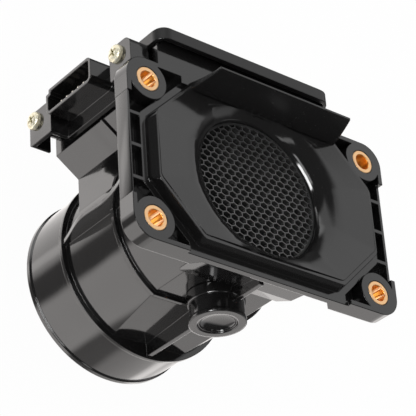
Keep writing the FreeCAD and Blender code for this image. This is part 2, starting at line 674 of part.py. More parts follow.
def body_holes():
    """Everything that is cut from the moulding: air way, stub bore, insert seats and screw holes."""
    holes = [bell_cut(), rod_z(0, 0, SEAT_Z, THROAT_Z, THROAT_R), rod_z(0, 0, TUBE_END_Z - CUT, SEAT_Z, TUBE_R),
             rod_y(0, STUB_Z, STUB_END_Y - CUT, STUB_FLOOR_Y, STUB_BORE_R), connector_window(0)]
    for x, y in BOLT_CENTRES:
        holes.append(rod_z(x, y, FLANGE_BACK_Z - CUT, PAD_Z + CUT, INSERT_R + PRESS_GAP))
    for z in (REAR_SCREW_Z, FRONT_SCREW_Z):
        holes.append(rod_x(SCREW_Y, z, EAR_FACE_X - CUT, BOX_LEFT_X + BOX_WALL + CUT, SCREW_SHANK_R + SLIDE_GAP))
    for x, z in board_screw_spots():
        holes.append(rod_y(x, z, BOARD_Y - BOARD_SCREW_LENGTH - CUT / 2, BOARD_Y + CUT, BOARD_SCREW_R + SLIDE_GAP))
    holes.append(rod_y(PORT_X, PORT_Z, 0, BOARD_Y, PORT_BORE_R))
    holes.append(rod_y(PROBE_X, PROBE_Z, TUBE_R, BOARD_Y, PROBE_R + SLIDE_GAP))
    return holes


def meter_body():
    """The main moulding."""
    outside = fuse([shell_outer(), side_fin(-1), side_fin(1), foot_fin(), stub_outer()])
    hollow = flat_sided(BODY_R - BODY_WALL, BODY_WALL, SHOULDER_RING_Z, FLANGE_BACK_Z - FLANGE_FLOOR)
    outlet = rod_z(0, 0, -CUT, SHOULDER_RING_Z, OUTLET_BORE_R)
    barrel = outside.cut(hollow).cut(outlet)
    box = electronics_box().cut(rod_z(0, 0, 0, FLANGE_BACK_Z - FLANGE_FLOOR, BODY_R - CUT))
    front = flange().cut(underside_notch())
    bosses = [screw_boss(REAR_SCREW_Z), screw_boss(FRONT_SCREW_Z)]
    body = fuse([barrel, underside_ramp(), measuring_tube(), box, front, rim(), hood()] + board_posts() + bosses)
    for hole in body_holes():
        body = body.cut(hole)
    return body.removeSplitter()


def connector_window(gap):
    """Hole in the box wall for the back of the connector."""
    return block(BOX_LEFT_X - CUT * 2, BOX_LEFT_X + BOX_WALL + CUT, SHROUD_FOOT_Y + CUT + gap,
                 PLATE_TOP_Y - CUT - gap, SHROUD_Z0 + WINDOW_MARGIN + gap, SHROUD_Z1 - WINDOW_MARGIN - gap)


def rounded_block_y(x0, x1, z0, z1, y0, y1, r):
    return prism(rectangle(x0, x1, z0, z1), r, in_xz(y0), V(0, y1 - y0, 0))


def electronics_cover():
    """Lid that overhangs the box walls and is hollow below."""
    lid = rounded_block_y(COVER_LEFT_X, COVER_RIGHT_X, COVER_END_Z, COVER_FRONT_Z, COVER_FOOT_Y, COVER_TOP_Y,
                          COVER_CORNER_R)
    top_edges = [edge for edge in lid.Edges if edge.BoundBox.YMin > COVER_TOP_Y - 0.01]
    lid = lid.makeChamfer(COVER_CHAMFER, top_edges)
    hollow = rounded_block_y(COVER_LEFT_X + COVER_WALL, COVER_RIGHT_X - COVER_WALL, COVER_END_Z + COVER_WALL,
                             COVER_FRONT_Z - COVER_WALL, COVER_FOOT_Y - CUT, COVER_TOP_Y - COVER_WALL,
                             COVER_INNER_CORNER_R)
    return lid.cut(hollow)


def cover_seal():
    """Strip of sealant between the box walls and the lid."""
    top = COVER_TOP_Y - COVER_WALL
    outer = block(BOX_LEFT_X, BOX_RIGHT_X, BOX_TOP_Y, top, BOX_END_Z, PAD_Z)
    inner = block(BOX_LEFT_X + BOX_WALL, BOX_RIGHT_X - BOX_WALL, BOX_TOP_Y - CUT, top + CUT, BOX_END_Z + BOX_WALL,
                  PAD_Z - BOX_FRONT_WALL)
    return outer.cut(inner)


def ear(z0, z1, screw_z):
    """Hollow block for one screw, open below and towards the box."""
    radii = [EAR_FOOT_R, EAR_FOOT_R, EAR_TOP_R, EAR_TOP_R]
    solid = prism(rectangle(z0, z1, EAR_FOOT_Y, EAR_TOP_Y), radii, in_zy(EAR_FACE_X),
                  V(EAR_BACK_X - EAR_FACE_X, 0, 0))
    hollow = block(EAR_FACE_X + EAR_WALL, EAR_BACK_X + CUT, EAR_FOOT_Y - CUT, EAR_TOP_Y - EAR_WALL, z0 + EAR_WALL,
                   z1 - EAR_WALL)
    hollow = hollow.cut(rod_x(SCREW_Y, screw_z, EAR_FACE_X, EAR_BACK_X, SCREW_BOSS_R))
    flange_room = block(EAR_FACE_X - CUT, EAR_BACK_X + CUT, EAR_FOOT_Y - CUT, FLANGE_HIGH_Y + FIT_GAP,
                        FLANGE_BACK_Z - FIT_GAP, PAD_Z)
    screw_hole = rod_x(SCREW_Y, screw_z, EAR_FACE_X - CUT, EAR_BACK_X + CUT, SCREW_SHANK_R + FIT_GAP)
    return solid.cut(hollow).cut(flange_room).cut(screw_hole)


def shroud(inset, x0, x1):
    """Rounded bar with the plug's outline; one upper corner is stepped so that the plug fits one way."""
    z0 = SHROUD_Z0 + inset
    z1 = SHROUD_Z1 - inset
    y0 = SHROUD_FOOT_Y + inset
    y1 = SHROUD_TOP_Y - inset
    points = [(z0, y0), (z1, y0), (z1, y1), (z0 + SHROUD_KEY, y1), (z0 + SHROUD_KEY, y1 - SHROUD_KEY),
              (z0, y1 - SHROUD_KEY)]
    radii = [SHROUD_CORNER_R - inset] * 3 + [SHROUD_KEY_R] * 3
    return prism(points, radii, in_zy(x0), V(x1 - x0, 0, 0))


def connector_plate():
    """Base plate with a deep shroud for the plug and an ear at each end."""
    plate = block(PLATE_FACE_X, PLATE_FACE_X + PLATE_WALL, PLATE_FOOT_Y, PLATE_TOP_Y, REAR_EAR_Z1 - CUT,
                  FRONT_EAR_Z0 + CUT / 2)
    neck = connector_window(FIT_GAP).common(block(PLATE_FACE_X, BOX_LEFT_X + BOX_WALL, 0, COVER_TOP_Y, 0, PAD_Z))
    solid = fuse([plate, shroud(0, SHROUD_FACE_X, PLATE_FACE_X + EAR_SEAT), neck,
                  ear(REAR_EAR_Z0, REAR_EAR_Z1, REAR_SCREW_Z), ear(FRONT_EAR_Z0, FRONT_EAR_Z1, FRONT_SCREW_Z)])
    solid = solid.cut(shroud(SHROUD_WALL, SHROUD_FACE_X - CUT, PLATE_FACE_X - SHROUD_FLOOR))
    for z in terminal_places():
        solid = solid.cut(terminal(z))
    return solid.removeSplitter()


def connector_seal():
    """Flat gasket between the plate and the box wall."""
    edge = WINDOW_MARGIN - CUT
    outer = block(PLATE_FACE_X + PLATE_WALL, BOX_LEFT_X, SHROUD_FOOT_Y - edge, PLATE_TOP_Y,
                  SHROUD_Z0 + CUT / 2, SHROUD_Z1 - CUT / 2)
    return outer.cut(connector_window(0))


def terminal_places():
    first = TERMINAL_ROW_Z - TERMINAL_PITCH * (TERMINAL_COUNT - 1) / 2
    return [first + TERMINAL_PITCH * index for index in range(TERMINAL_COUNT)]


def terminal(z):
    """Bent pin: out through the shroud, in over the board and down into it."""
    top = TERMINAL_Y + TERMINAL_WIDTH / 2
    below = top - TERMINAL_WIDTH
    foot_x = BOX_LEFT_X + BOX_WALL + TERMINAL_FOOT_GAP
    end = BOARD_Y - TERMINAL_END
    points = [(TERMINAL_TIP_X, top), (TERMINAL_TIP_X, below), (foot_x - TERMINAL_WIDTH, below),
              (foot_x - TERMINAL_WIDTH, end), (foot_x, end), (foot_x, top)]
    return prism(points, 0, in_xy(z - TERMINAL_THICKNESS / 2), V(0, 0, TERMINAL_THICKNESS))


def pan_screw(y, z):
    """Pan head machine screw along X with a cross recess; the head faces -X."""
    r = SCREW_HEAD_R
    h = SCREW_HEAD_HEIGHT
    rise = SCREW_HEAD_CROWN
    crown_x = EAR_FACE_X - h
    head = revolve([(0, 0), (r - rise, 0), (r, rise), (r, h), (0, h)], V(crown_x, y, z), V(1, 0, 0), V(0, 1, 0))
    shank = rod_x(y, z, EAR_FACE_X, BOX_LEFT_X + BOX_WALL, SCREW_SHANK_R)
    screw = head.fuse(shank)
    half_width = SCREW_RECESS_WIDTH / 2
    half_length = SCREW_RECESS_LENGTH / 2
    for turn in (0, 90):
        slot = block(crown_x - CUT, crown_x + SCREW_RECESS_DEPTH, y - half_width, y + half_width, z - half_length,
                     z + half_length)
        slot.rotate(V(0, y, z), V(1, 0, 0), turn + SCREW_RECESS_TURN)
        screw = screw.cut(slot)
    return screw


def mounting_insert(x, y):
    """Brass sleeve that takes the clamping force of one bolt."""
    sleeve = rod_z(x, y, FLANGE_BACK_Z, PAD_Z, INSERT_R)
    return sleeve.cut(rod_z(x, y, FLANGE_BACK_Z - CUT, PAD_Z + CUT, INSERT_BORE_R))


def honeycomb():
    """Disc of six-sided cells inside a thin ring."""
    outer_r = THROAT_R - FIT_GAP
    clear_r = outer_r - COMB_RING_WALL
    half_w = (COMB_PITCH_X - COMB_CELL_WALL) / 2
    point = COMB_ROW_PITCH * 2 / 3 - COMB_CELL_WALL * 0.58
    shoulder = COMB_ROW_PITCH / 3 - COMB_CELL_WALL * 0.29
    cell = [(half_w, -shoulder), (half_w, shoulder), (0, point), (-half_w, shoulder), (-half_w, -shoulder),
            (0, -point)]
    wires = [Part.Wire(Part.makeCircle(outer_r, V(0, 0, COMB_BACK_Z)))]
    turns = [2 * math.pi * index / COMB_RING_SIDES for index in range(COMB_RING_SIDES)]
    inside = [(clear_r * math.cos(turn), clear_r * math.sin(turn)) for turn in turns]
    clear = Part.Face(outline(inside, 0, in_xy(COMB_BACK_Z)))
    rows = int(clear_r / COMB_ROW_PITCH) + 1
    columns = int(clear_r / COMB_PITCH_X) + 1
    for row in range(-rows, rows + 1):
        for column in range(-columns, columns + 1):
            x = (column + 0.5 * (row % 2)) * COMB_PITCH_X
            y = row * COMB_ROW_PITCH
            corners = [(x + u, y + v) for u, v in cell]
            reach = [math.hypot(u, v) for u, v in corners]
            if max(reach) < clear_r * math.cos(math.pi / COMB_RING_SIDES):
                wires.append(outline(corners, 0, in_xy(COMB_BACK_Z)))
            elif min(reach) < clear_r:
                rest = Part.Face(outline(corners, 0, in_xy(COMB_BACK_Z))).common(clear)
                wires += [face.OuterWire for face in rest.Faces if face.Area > COMB_SMALLEST_CELL]
    return Part.Face(wires, "Part::FaceMakerBullseye").extrude(V(0, 0, COMB_DEPTH))


def vortex_generator():
    """Ring with a wedge bar across the flow and a tail bar behind it."""
    outer_r = THROAT_R - FIT_GAP
    ring = rod_z(0, 0, SEAT_Z, COMB_BACK_Z, outer_r).cut(rod_z(0, 0, SEAT_Z - CUT, COMB_BACK_Z + CUT, TUBE_R))
    front = COMB_BACK_Z - WEDGE_DROP
    across = V(0, 2 * outer_r, 0)
    wedge = prism([(-WEDGE_WIDTH / 2, front), (WEDGE_WIDTH / 2, front), (TAIL_WIDTH / 4, front - WEDGE_LENGTH),
                   (-TAIL_WIDTH / 4, front - WEDGE_LENGTH)], 0, in_xz(-outer_r), across)
    tail_front = front - WEDGE_LENGTH - TAIL_GAP
    tail_back = tail_front - TAIL_LENGTH
    tail = prism([(-TAIL_WIDTH / 2, tail_back), (TAIL_WIDTH / 2, tail_back), (TAIL_WIDTH / 3, tail_front),
                  (-TAIL_WIDTH / 3, tail_front)], 0, in_xz(-outer_r), across)
    vane = block(-VANE_WALL / 2, VANE_WALL / 2, -TUBE_R - CUT, TUBE_R + CUT, tail_front - CUT / 2,
                 front - WEDGE_LENGTH + CUT / 2)
    bars = fuse([wedge, tail, vane]).common(rod_z(0, 0, SEAT_Z, COMB_BACK_Z, outer_r))
    return fuse([ring, bars])


def circuit_board():
    """Board with holes for its screws, the connector's pins and the probe's leads."""
    x0, x1, z0, z1 = board_limits()
    board = block(x0, x1, BOARD_Y, BOARD_TOP_Y, z0, z1)
    for x, z in board_screw_spots():
        board = board.cut(rod_y(x, z, BOARD_Y - CUT, BOARD_TOP_Y + CUT, BOARD_SCREW_R + SLIDE_GAP))
    for z in terminal_places():
        board = board.cut(terminal(z))
    return board.cut(rod_y(PROBE_X, PROBE_Z, BOARD_Y - CUT, BOARD_TOP_Y + CUT, PROBE_LEAD_R + SLIDE_GAP))


def board_screw(x, z):
    head = rod_y(x, z, BOARD_TOP_Y, BOARD_TOP_Y + BOARD_SCREW_HEAD_HEIGHT, BOARD_SCREW_HEAD_R)
    return head.fuse(rod_y(x, z, BOARD_Y - BOARD_SCREW_LENGTH, BOARD_TOP_Y, BOARD_SCREW_R))


def on_board(x, z, width, depth, height):
    """Block centred at one place on the board's upper face."""
    return block(x - width / 2, x + width / 2, BOARD_TOP_Y, BOARD_TOP_Y + height, z - depth / 2, z + depth / 2)


def signal_chip():
    """Flat package with leads on two sides."""
    x0, x1, z0, z1 = board_limits()
    x = x0 + CHIP_INSET_X
    z = z1 - CHIP_INSET_Z
    first = z - LEAD_PITCH * (LEAD_COUNT - 1) / 2
    leads = [on_board(x, first + LEAD_PITCH * index, CHIP_SIZE + 2 * LEAD_REACH, LEAD_WIDTH, LEAD_THICKNESS)
             for index in range(LEAD_COUNT)]
    return fuse([on_board(x, z, CHIP_SIZE, CHIP_SIZE, CHIP_HEIGHT)] + leads)


def pressure_sensor():
    """Pressure capsule below the board, seated on the sleeve from the measuring tube."""
    foot = BOARD_Y - CAPSULE_HEIGHT
    can = rod_y(PORT_X, PORT_Z, foot, BOARD_Y, CAPSULE_R)
    return can.fuse(rod_y(PORT_X, PORT_Z, foot - NIPPLE_LENGTH, foot, PORT_BORE_R - SLIDE_GAP))


def barometric_sensor():
    x0, x1, z0, z1 = board_limits()
    x = x1 - AIR_SENSOR_INSET_X
    z = z0 + AIR_SENSOR_INSET_Z
    top = BOARD_TOP_Y + AIR_SENSOR_HEIGHT
    base = on_board(x, z, AIR_SENSOR_SIZE, AIR_SENSOR_SIZE, AIR_SENSOR_HEIGHT)
    port = rod_y(x, z, top, top + AIR_SENSOR_PORT_HEIGHT, AIR_SENSOR_PORT_R)
    return base.fuse(port).cut(rod_y(x, z, top, top + AIR_SENSOR_PORT_HEIGHT + CUT, AIR_SENSOR_HOLE_R))


def capacitor(index):
    x0, x1, z0, z1 = board_limits()
    z = z0 + CAPACITOR_INSET_Z + CAPACITOR_PITCH * index
    return rod_y(x0 + CAPACITOR_INSET_X, z, BOARD_TOP_Y, BOARD_TOP_Y + CAPACITOR_HEIGHT, CAPACITOR_R)


def temperature_probe():
    """Thermistor stem with a blunt tip that hangs in the outlet air stream, and its leads in the board."""
    r = PROBE_R
    tip = BODY_R - PROBE_REACH
    profile = [(0, tip), (r / 2, tip), (r, tip + r), (r, BOARD_Y), (PROBE_LEAD_R, BOARD_Y),
               (PROBE_LEAD_R, BOARD_TOP_Y + CUT), (0, BOARD_TOP_Y + CUT)]
    return revolve(profile, V(PROBE_X, 0, PROBE_Z), V(0, 1, 0), V(1, 0, 0))


def bypass_plug():
    """Pressed cup that closes the stub, with a hollow face."""
    r = STUB_BORE_R - PRESS_GAP
    floor = PLUG_SETBACK + PLUG_DISH_DEPTH
    profile = [(0, floor), (r / 2, floor), (r - PLUG_RIM, PLUG_SETBACK), (r, PLUG_SETBACK),
               (r, PLUG_SETBACK + PLUG_LENGTH), (0, PLUG_SETBACK + PLUG_LENGTH)]
    return revolve(profile, V(0, STUB_END_Y, STUB_Z), V(0, 1, 0), V(1, 0, 0))


def bypass_screw_start():
    return STUB_END_Y + PLUG_SETBACK + PLUG_LENGTH + BYPASS_SCREW_GAP


def bypass_screw():
    """Slotted adjuster with a groove for its seal."""
    r = STUB_BORE_R - SLIDE_GAP
    y0 = bypass_screw_start()
    neck_end = BYPASS_NECK_START + BYPASS_NECK_WIDTH
    profile = [(0, 0), (r, 0), (r, BYPASS_NECK_START), (BYPASS_NECK_R, BYPASS_NECK_START), (BYPASS_NECK_R, neck_end),
               (r, neck_end), (r, BYPASS_SCREW_LENGTH), (0, BYPASS_SCREW_LENGTH)]
    screw = revolve(profile, V(0, y0, STUB_Z), V(0, 1, 0), V(1, 0, 0))
    half = BYPASS_SLOT_WIDTH / 2
    return screw.cut(block(-r, r, y0 - CUT, y0 + BYPASS_SLOT_DEPTH, STUB_Z - half, STUB_Z + half))


def bypass_screw_seal():
    """Square ring in the adjuster's groove."""
    y0 = bypass_screw_start() + BYPASS_NECK_START + PRESS_GAP
    y1 = y0 + BYPASS_NECK_WIDTH - 2 * PRESS_GAP
    ring = rod_y(0, STUB_Z, y0, y1, STUB_BORE_R - PRESS_GAP)
    return ring.cut(rod_y(0, STUB_Z, y0 - CUT, y1 + CUT, BYPASS_NECK_R + PRESS_GAP))


def write(name, shape):
    solids = shape.Solids
    print(name, len(solids), round(shape.Volume, 1), shape.isValid())
    piece = solids[0] if len(solids) == 1 else Part.makeCompound(solids)
    piece.exportStep("parts/%s.step" % name)


def main():
    os.makedirs("parts", exist_ok=True)
    write("meter_body", meter_body())
    write("electronics_cover", electronics_cover())
    write("cover_seal", cover_seal())
    write("connector_plate", connector_plate())
    write("connector_seal", connector_seal())
    for index, z in enumerate(terminal_places()):
        write("terminal_%d" % (index + 1), terminal(z))
    for index, z in enumerate((FRONT_SCREW_Z, REAR_SCREW_Z)):
        write("connector_screw_%d" % (index + 1), pan_screw(SCREW_Y, z))
    for index, (x, y) in enumerate(BOLT_CENTRES):
        write("mounting_insert_%d" % (index + 1), mounting_insert(x, y))
    write("honeycomb_straightener", honeycomb())
    write("vortex_generator", vortex_generator())
    write("circuit_board", circuit_board())
    for index, (x, z) in enumerate(board_screw_spots()):
        write("board_screw_%d" % (index + 1), board_screw(x, z))
    write("signal_chip", signal_chip())
    write("pressure_sensor", pressure_sensor())
    write("barometric_sensor", barometric_sensor())
    for index in range(2):
        write("capacitor_%d" % (index + 1), capacitor(index))
    write("temperature_probe", temperature_probe())
    write("bypass_plug", bypass_plug())
    write("bypass_screw", bypass_screw())
    write("bypass_screw_seal", bypass_screw_seal())


main()
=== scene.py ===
import math

import bmesh
import bpy
from mathutils import Matrix, Vector


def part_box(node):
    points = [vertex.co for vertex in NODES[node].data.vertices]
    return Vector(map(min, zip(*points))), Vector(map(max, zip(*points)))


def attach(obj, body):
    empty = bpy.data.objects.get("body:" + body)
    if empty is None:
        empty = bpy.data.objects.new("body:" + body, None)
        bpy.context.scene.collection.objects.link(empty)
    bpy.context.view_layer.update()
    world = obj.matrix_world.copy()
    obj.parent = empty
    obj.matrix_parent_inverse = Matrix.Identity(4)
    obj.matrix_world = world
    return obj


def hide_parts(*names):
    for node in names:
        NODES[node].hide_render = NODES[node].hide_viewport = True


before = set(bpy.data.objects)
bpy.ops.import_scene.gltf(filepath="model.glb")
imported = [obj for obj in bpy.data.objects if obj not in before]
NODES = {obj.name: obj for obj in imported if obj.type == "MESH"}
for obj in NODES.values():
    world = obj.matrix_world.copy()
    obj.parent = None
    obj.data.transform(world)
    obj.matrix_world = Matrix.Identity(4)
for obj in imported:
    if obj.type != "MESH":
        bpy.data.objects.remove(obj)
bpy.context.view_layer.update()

bl_info = {
    "name": "Airflow meter",
    "version": (1, 0, 0),
    "blender": (4, 5, 0),
    "location": "View3D > Sidebar > Airflow meter",
    "description": "Finishes a vortex airflow meter and sets it on a pale studio floor",
    "category": "Object",
}

MM = 0.001

DUST_COLOUR = (0.12, 0.115, 0.11)
NEAR_BLACK = (0.012, 0.012, 0.012)

# Points round a turned piece
TURN_STEPS = 96

# Heights between which the barrel's sink marks fade out, and between which the hood's duller gloss sets in
BARREL_END = (56 * MM, 62 * MM)
HOOD_FOOT = (109 * MM, 111 * MM)

# The comb's edges turn pale between these heights, a painted highlight, and black again between these radii,
# painted shade at the rim
COMB_FACE = (98.5 * MM, 98.9 * MM)
COMB_RIM = (29.2 * MM, 29.6 * MM)

# Where the camera's right, upper and rear sides face
CAMERA_RIGHT = (0.783, -0.063, 0.619)
CAMERA_UP = (-0.273, 0.859, 0.433)
CAMERA_BACK = (-0.559, -0.508, 0.655)

# Strength of the light on matt surfaces, and of what mirrors see between the cards
PLAIN_LIGHT = 0.9
ROOM_LIGHT = 0.09

# Height angles in degrees of straight down and of the pale table's far edge, and its colour in mirrors
STRAIGHT_DOWN = -90
TABLE_EDGE = -32
TABLE_TINT = (1.0, 0.965, 0.945)

# Cards that mirrors see: strength, then in degrees the compass direction, half width, lowest and highest edge
# and softness, which is 6 where none is given
CARDS = (
    (1.5, 105, 47, STRAIGHT_DOWN, TABLE_EDGE),
    (2.2, 221, 33, STRAIGHT_DOWN, TABLE_EDGE),
    (1.2, 323, 35, STRAIGHT_DOWN, TABLE_EDGE),
    (1.2, 20, 38, STRAIGHT_DOWN, TABLE_EDGE),
    (1.5, 120, 18, TABLE_EDGE, 32),
    (0.8, 78, 58, 31, 56),
    (0.6, 42, 13, 4, 31),
    (0.45, 0, 20, 22, 44),
    (3.0, 214, 28, 36, 45, 2.0),
    (1.4, 276, 5, 30, 60, 2.0),
    (0.45, 270, 16, STRAIGHT_DOWN, TABLE_EDGE),
    (0.9, 138, 5, -50, -35, 4.0),
    (0.18, 169, 18, STRAIGHT_DOWN, TABLE_EDGE),
    (16.0, 201, 19, 20, 33, 1.5),
    (0.6, 212, 9, -30, 6),
    (0.7, 335, 12, TABLE_EDGE, 8),
)


# Sizes and colours that a user may change

class FinishSettings(bpy.types.PropertyGroup):
    plastic_colour: bpy.props.FloatVectorProperty(
        name="Plastic", description="Colour of the moulded housing", subtype="COLOR", size=3, min=0, max=1,
        default=(0.0088, 0.0085, 0.0086))
    plastic_roughness: bpy.props.FloatProperty(
        name="Housing roughness", description="0 is a mirror", subtype="FACTOR", min=0, max=1, default=0.1)
    cover_roughness: bpy.props.FloatProperty(
        name="Lid roughness", description="Roughness of the lid's satin surface", subtype="FACTOR",
        min=0, max=1, default=0.3)
    edge_radius: bpy.props.FloatProperty(
        name="Edge radius", description="Rounding of the moulded edges", subtype="DISTANCE", unit="LENGTH",
        min=0, default=0.5 * MM)
    stub_radius: bpy.props.FloatProperty(
        name="Stub edge radius", description="Rounding at the end of the bypass stub", subtype="DISTANCE",
        unit="LENGTH", min=0, default=1.1 * MM)
    brass_colour: bpy.props.FloatVectorProperty(
        name="Brass", description="Colour of the turned sleeves", subtype="COLOR", size=3, min=0, max=1,
        default=(1.0, 0.62, 0.32))
    # Painted shade: the bore colour is a darker, deeper orange painted inside the sleeves' bores in place of
    # their shade
    bore_shade_colour: bpy.props.FloatVectorProperty(
        name="Bore", description="Colour deep in the sleeves' bores", subtype="COLOR", size=3, min=0, max=1,
        default=(0.85, 0.36, 0.05))
    zinc_colour: bpy.props.FloatVectorProperty(
        name="Yellow zinc", description="Colour of the plated screws", subtype="COLOR", size=3, min=0, max=1,
        default=(0.97, 0.93, 0.74))
    # Painted shade: the recess colour paints the cross recess darker than the head
    recess_shade_colour: bpy.props.FloatVectorProperty(
        name="Recess", description="Colour in the screws' cross recess", subtype="COLOR", size=3,
        min=0, max=1, default=(0.3, 0.27, 0.1))
    # Painted highlight: the comb edges colour lights the cells' up-facing front edges, paler than the near
    # black walls
    comb_lit_colour: bpy.props.FloatVectorProperty(
        name="Comb edges", description="Colour of the honeycomb's front edges", subtype="COLOR", size=3,
        min=0, max=1, default=(0.055, 0.055, 0.055))


class InsertSettings(bpy.types.PropertyGroup):
    bore_radius: bpy.props.FloatProperty(
        name="Bore radius", description="Radius of the sleeve's bore", subtype="DISTANCE", unit="LENGTH",
        default=3.3 * MM)
    groove_count: bpy.props.IntProperty(
        name="Grooves", description="Grooves along the bore", min=0, default=6)
    grooved: bpy.props.IntProperty(
        name="Grooved sleeves", description="How many of the sleeves have grooves, from the first",
        min=0, max=4, default=3)
    groove_depth: bpy.props.FloatProperty(
        name="Groove depth", description="Depth of each groove", subtype="DISTANCE", unit="LENGTH",
        default=0.45 * MM)
    chamfer: bpy.props.FloatProperty(
        name="Chamfer", description="Bevel at the bore's mouth", subtype="DISTANCE", unit="LENGTH",
        default=0.3 * MM)


class MouthSettings(bpy.types.PropertyGroup):
    half_width: bpy.props.FloatProperty(
        name="Half width", description="From the axis to the rim's short side", subtype="DISTANCE",
        unit="LENGTH", default=53.5 * MM)
    half_height: bpy.props.FloatProperty(
        name="Half height", description="From the axis to the rim's long side", subtype="DISTANCE",
        unit="LENGTH", default=33.7 * MM)
    corner_sum: bpy.props.FloatProperty(
        name="Corner cut", description="Sum of the two distances from the axis on a slanted side",
        subtype="DISTANCE", unit="LENGTH", default=67.81 * MM)
    corner_radius: bpy.props.FloatProperty(
        name="Corner radius", description="Rounding of the eight corners", subtype="DISTANCE", unit="LENGTH",
        default=3.0 * MM)
    throat_radius: bpy.props.FloatProperty(
        name="Throat radius", description="Radius of the round throat", subtype="DISTANCE", unit="LENGTH",
        default=30.5 * MM)
    rim_height: bpy.props.FloatProperty(
        name="Rim height", description="Height of the rim on the flow axis", subtype="DISTANCE",
        unit="LENGTH", default=107.8 * MM)
    depth: bpy.props.FloatProperty(
        name="Depth", description="From the rim down to the round throat", subtype="DISTANCE", unit="LENGTH",
        default=4.7 * MM)
    comb_height: bpy.props.FloatProperty(
        name="Comb height", description="Height of the honeycomb's front", subtype="DISTANCE", unit="LENGTH",
        default=99.0 * MM)
    lip: bpy.props.FloatProperty(
        name="Lip", description="Width of the rounding where the mouth turns into the throat",
        subtype="DISTANCE", unit="LENGTH", default=5.5 * MM)
    lip_turn: bpy.props.FloatProperty(
        name="Lip turn", description="Share of the way to upright that the lip's shading turns",
        subtype="FACTOR", min=0, max=1, default=0.68)
    skin: bpy.props.FloatProperty(
        name="Skin", description="How far the smooth skin lies over the moulded steps", subtype="DISTANCE",
        unit="LENGTH", default=0.06 * MM)


class ScrewSettings(bpy.types.PropertyGroup):
    head_radius: bpy.props.FloatProperty(
        name="Head radius", description="Radius of the pan head", subtype="DISTANCE", unit="LENGTH",
        default=3.75 * MM)
    head_height: bpy.props.FloatProperty(
        name="Head height", description="Height of the pan head", subtype="DISTANCE", unit="LENGTH",
        default=2.5 * MM)
    recess_length: bpy.props.FloatProperty(
        name="Recess length", description="Tip to tip length of the cross recess", subtype="DISTANCE",
        unit="LENGTH", default=4.6 * MM)
    recess_depth: bpy.props.FloatProperty(
        name="Recess depth", description="Depth of the cross recess", subtype="DISTANCE", unit="LENGTH",
        default=0.9 * MM)
    recess_turn: bpy.props.FloatProperty(
        name="Recess turn", description="How far the cross is turned", subtype="ANGLE", unit="ROTATION",
        default=math.radians(20))


class PinSettings(bpy.types.PropertyGroup):
    width: bpy.props.FloatProperty(
        name="Width", description="Width of a pin across the flow axis", subtype="DISTANCE", unit="LENGTH",
        default=1.2 * MM)
    thickness: bpy.props.FloatProperty(
        name="Thickness", description="Thickness of a pin along the flow axis", subtype="DISTANCE",
        unit="LENGTH", default=1.0 * MM)
    reach: bpy.props.FloatProperty(
        name="Reach", description="How far a tip stands out past the plain pin", subtype="DISTANCE",
        unit="LENGTH", default=1.2 * MM)
    taper: bpy.props.FloatProperty(
        name="Taper", description="Length of the chamfered tip", subtype="DISTANCE", unit="LENGTH",
        default=0.6 * MM)
    tip_size: bpy.props.FloatProperty(
        name="Tip size", description="Share of the section that is left at the tip", subtype="FACTOR",
        min=0, max=1, default=0.55)


class StageSettings(bpy.types.PropertyGroup):
    camera_place: bpy.props.FloatVectorProperty(
        name="Camera", description="Where the camera stands", subtype="TRANSLATION", unit="LENGTH", size=3,
        default=(-0.4408, -0.3933, 0.5866))
    lens: bpy.props.FloatProperty(
        name="Lens", description="Focal length on a 36 mm sensor, in millimetres", min=1, default=170.3)
    floor_size: bpy.props.FloatProperty(
        name="Floor", description="Side of the floor", subtype="DISTANCE", unit="LENGTH", default=8.0)


SETTINGS = {"finish": FinishSettings, "mouth": MouthSettings, "insert": InsertSettings,
            "screw": ScrewSettings, "pin": PinSettings, "stage": StageSettings}


def settings(name):
    """The scene's group of settings of this name."""
    return getattr(bpy.context.scene, "airflow_" + name)


# Shader maths and materials

class Flow:
    """One output socket of a node tree; sums, products and comparisons of flows add Math nodes."""

    def __init__(self, tree, socket):
        self.tree = tree
        self.socket = socket

    def maths(self, operation, *values):
        return node(self.tree, "ShaderNodeMath", {"operation": operation}, list(values))

    def __add__(self, other):
        return self.maths("ADD", self, other)

    __radd__ = __add__

    def __sub__(self, other):
        return self.maths("SUBTRACT", self, other)

    def __rsub__(self, other):
        return self.maths("SUBTRACT", other, self)

    def __mul__(self, other):
        return self.maths("MULTIPLY", self, other)

    __rmul__ = __mul__

    def __truediv__(self, other):
        return self.maths("DIVIDE", self, other)

    def __lt__(self, other):
        return self.maths("LESS_THAN", self, other)

    def root(self):
        return self.maths("SQRT", self)

    def step(self, low, high):
        """Smooth rise from 0 at low to 1 at high."""
        return node(self.tree, "ShaderNodeMapRange", {"interpolation_type": "SMOOTHSTEP"},
                    {"Value": self, "From Min": low, "From Max": high})


def node(tree, kind, options=None, values=None, output=0):
    """Adds a node, sets its options and then its sockets, and gives one of its outputs as a Flow."""
    made = tree.nodes.new(kind)
    for name, value in (options or {}).items():
        setattr(made, name, value)
    pairs = enumerate(values) if isinstance(values, list) else (values or {}).items()
    for key, value in pairs:
        socket = made.inputs[key]
        if isinstance(value, Flow):
            tree.links.new(value.socket, socket)
        elif socket.type == "RGBA" and len(value) == 3:
            socket.default_value = (*value, 1)
        else:
            socket.default_value = value
    if not len(made.outputs):
        return made
    return Flow(tree, made.outputs[output])


def new_material(name):
    """New material and its empty node tree."""
    material = bpy.data.materials.new(name)
    material.use_nodes = True
    material.node_tree.nodes.clear()
    return material, material.node_tree


def place(tree):
    """Place in the object's own frame."""
    return node(tree, "ShaderNodeTexCoord", output="Object")


def noise(tree, scale, detail=2.0):
    """Uneven value about one half."""
    return node(tree, "ShaderNodeTexNoise", values={"Vector": place(tree), "Scale": scale, "Detail": detail})


def part_of(tree, vector, axis):
    """One part of a vector, as a number."""
    return node(tree, "ShaderNodeSeparateXYZ", values={"Vector": vector}, output=axis)


def rounded(tree, radius):
    """Normal that shades sharp edges as rounded ones."""
    return node(tree, "ShaderNodeBevel", {"samples": 8}, {"Radius": radius})


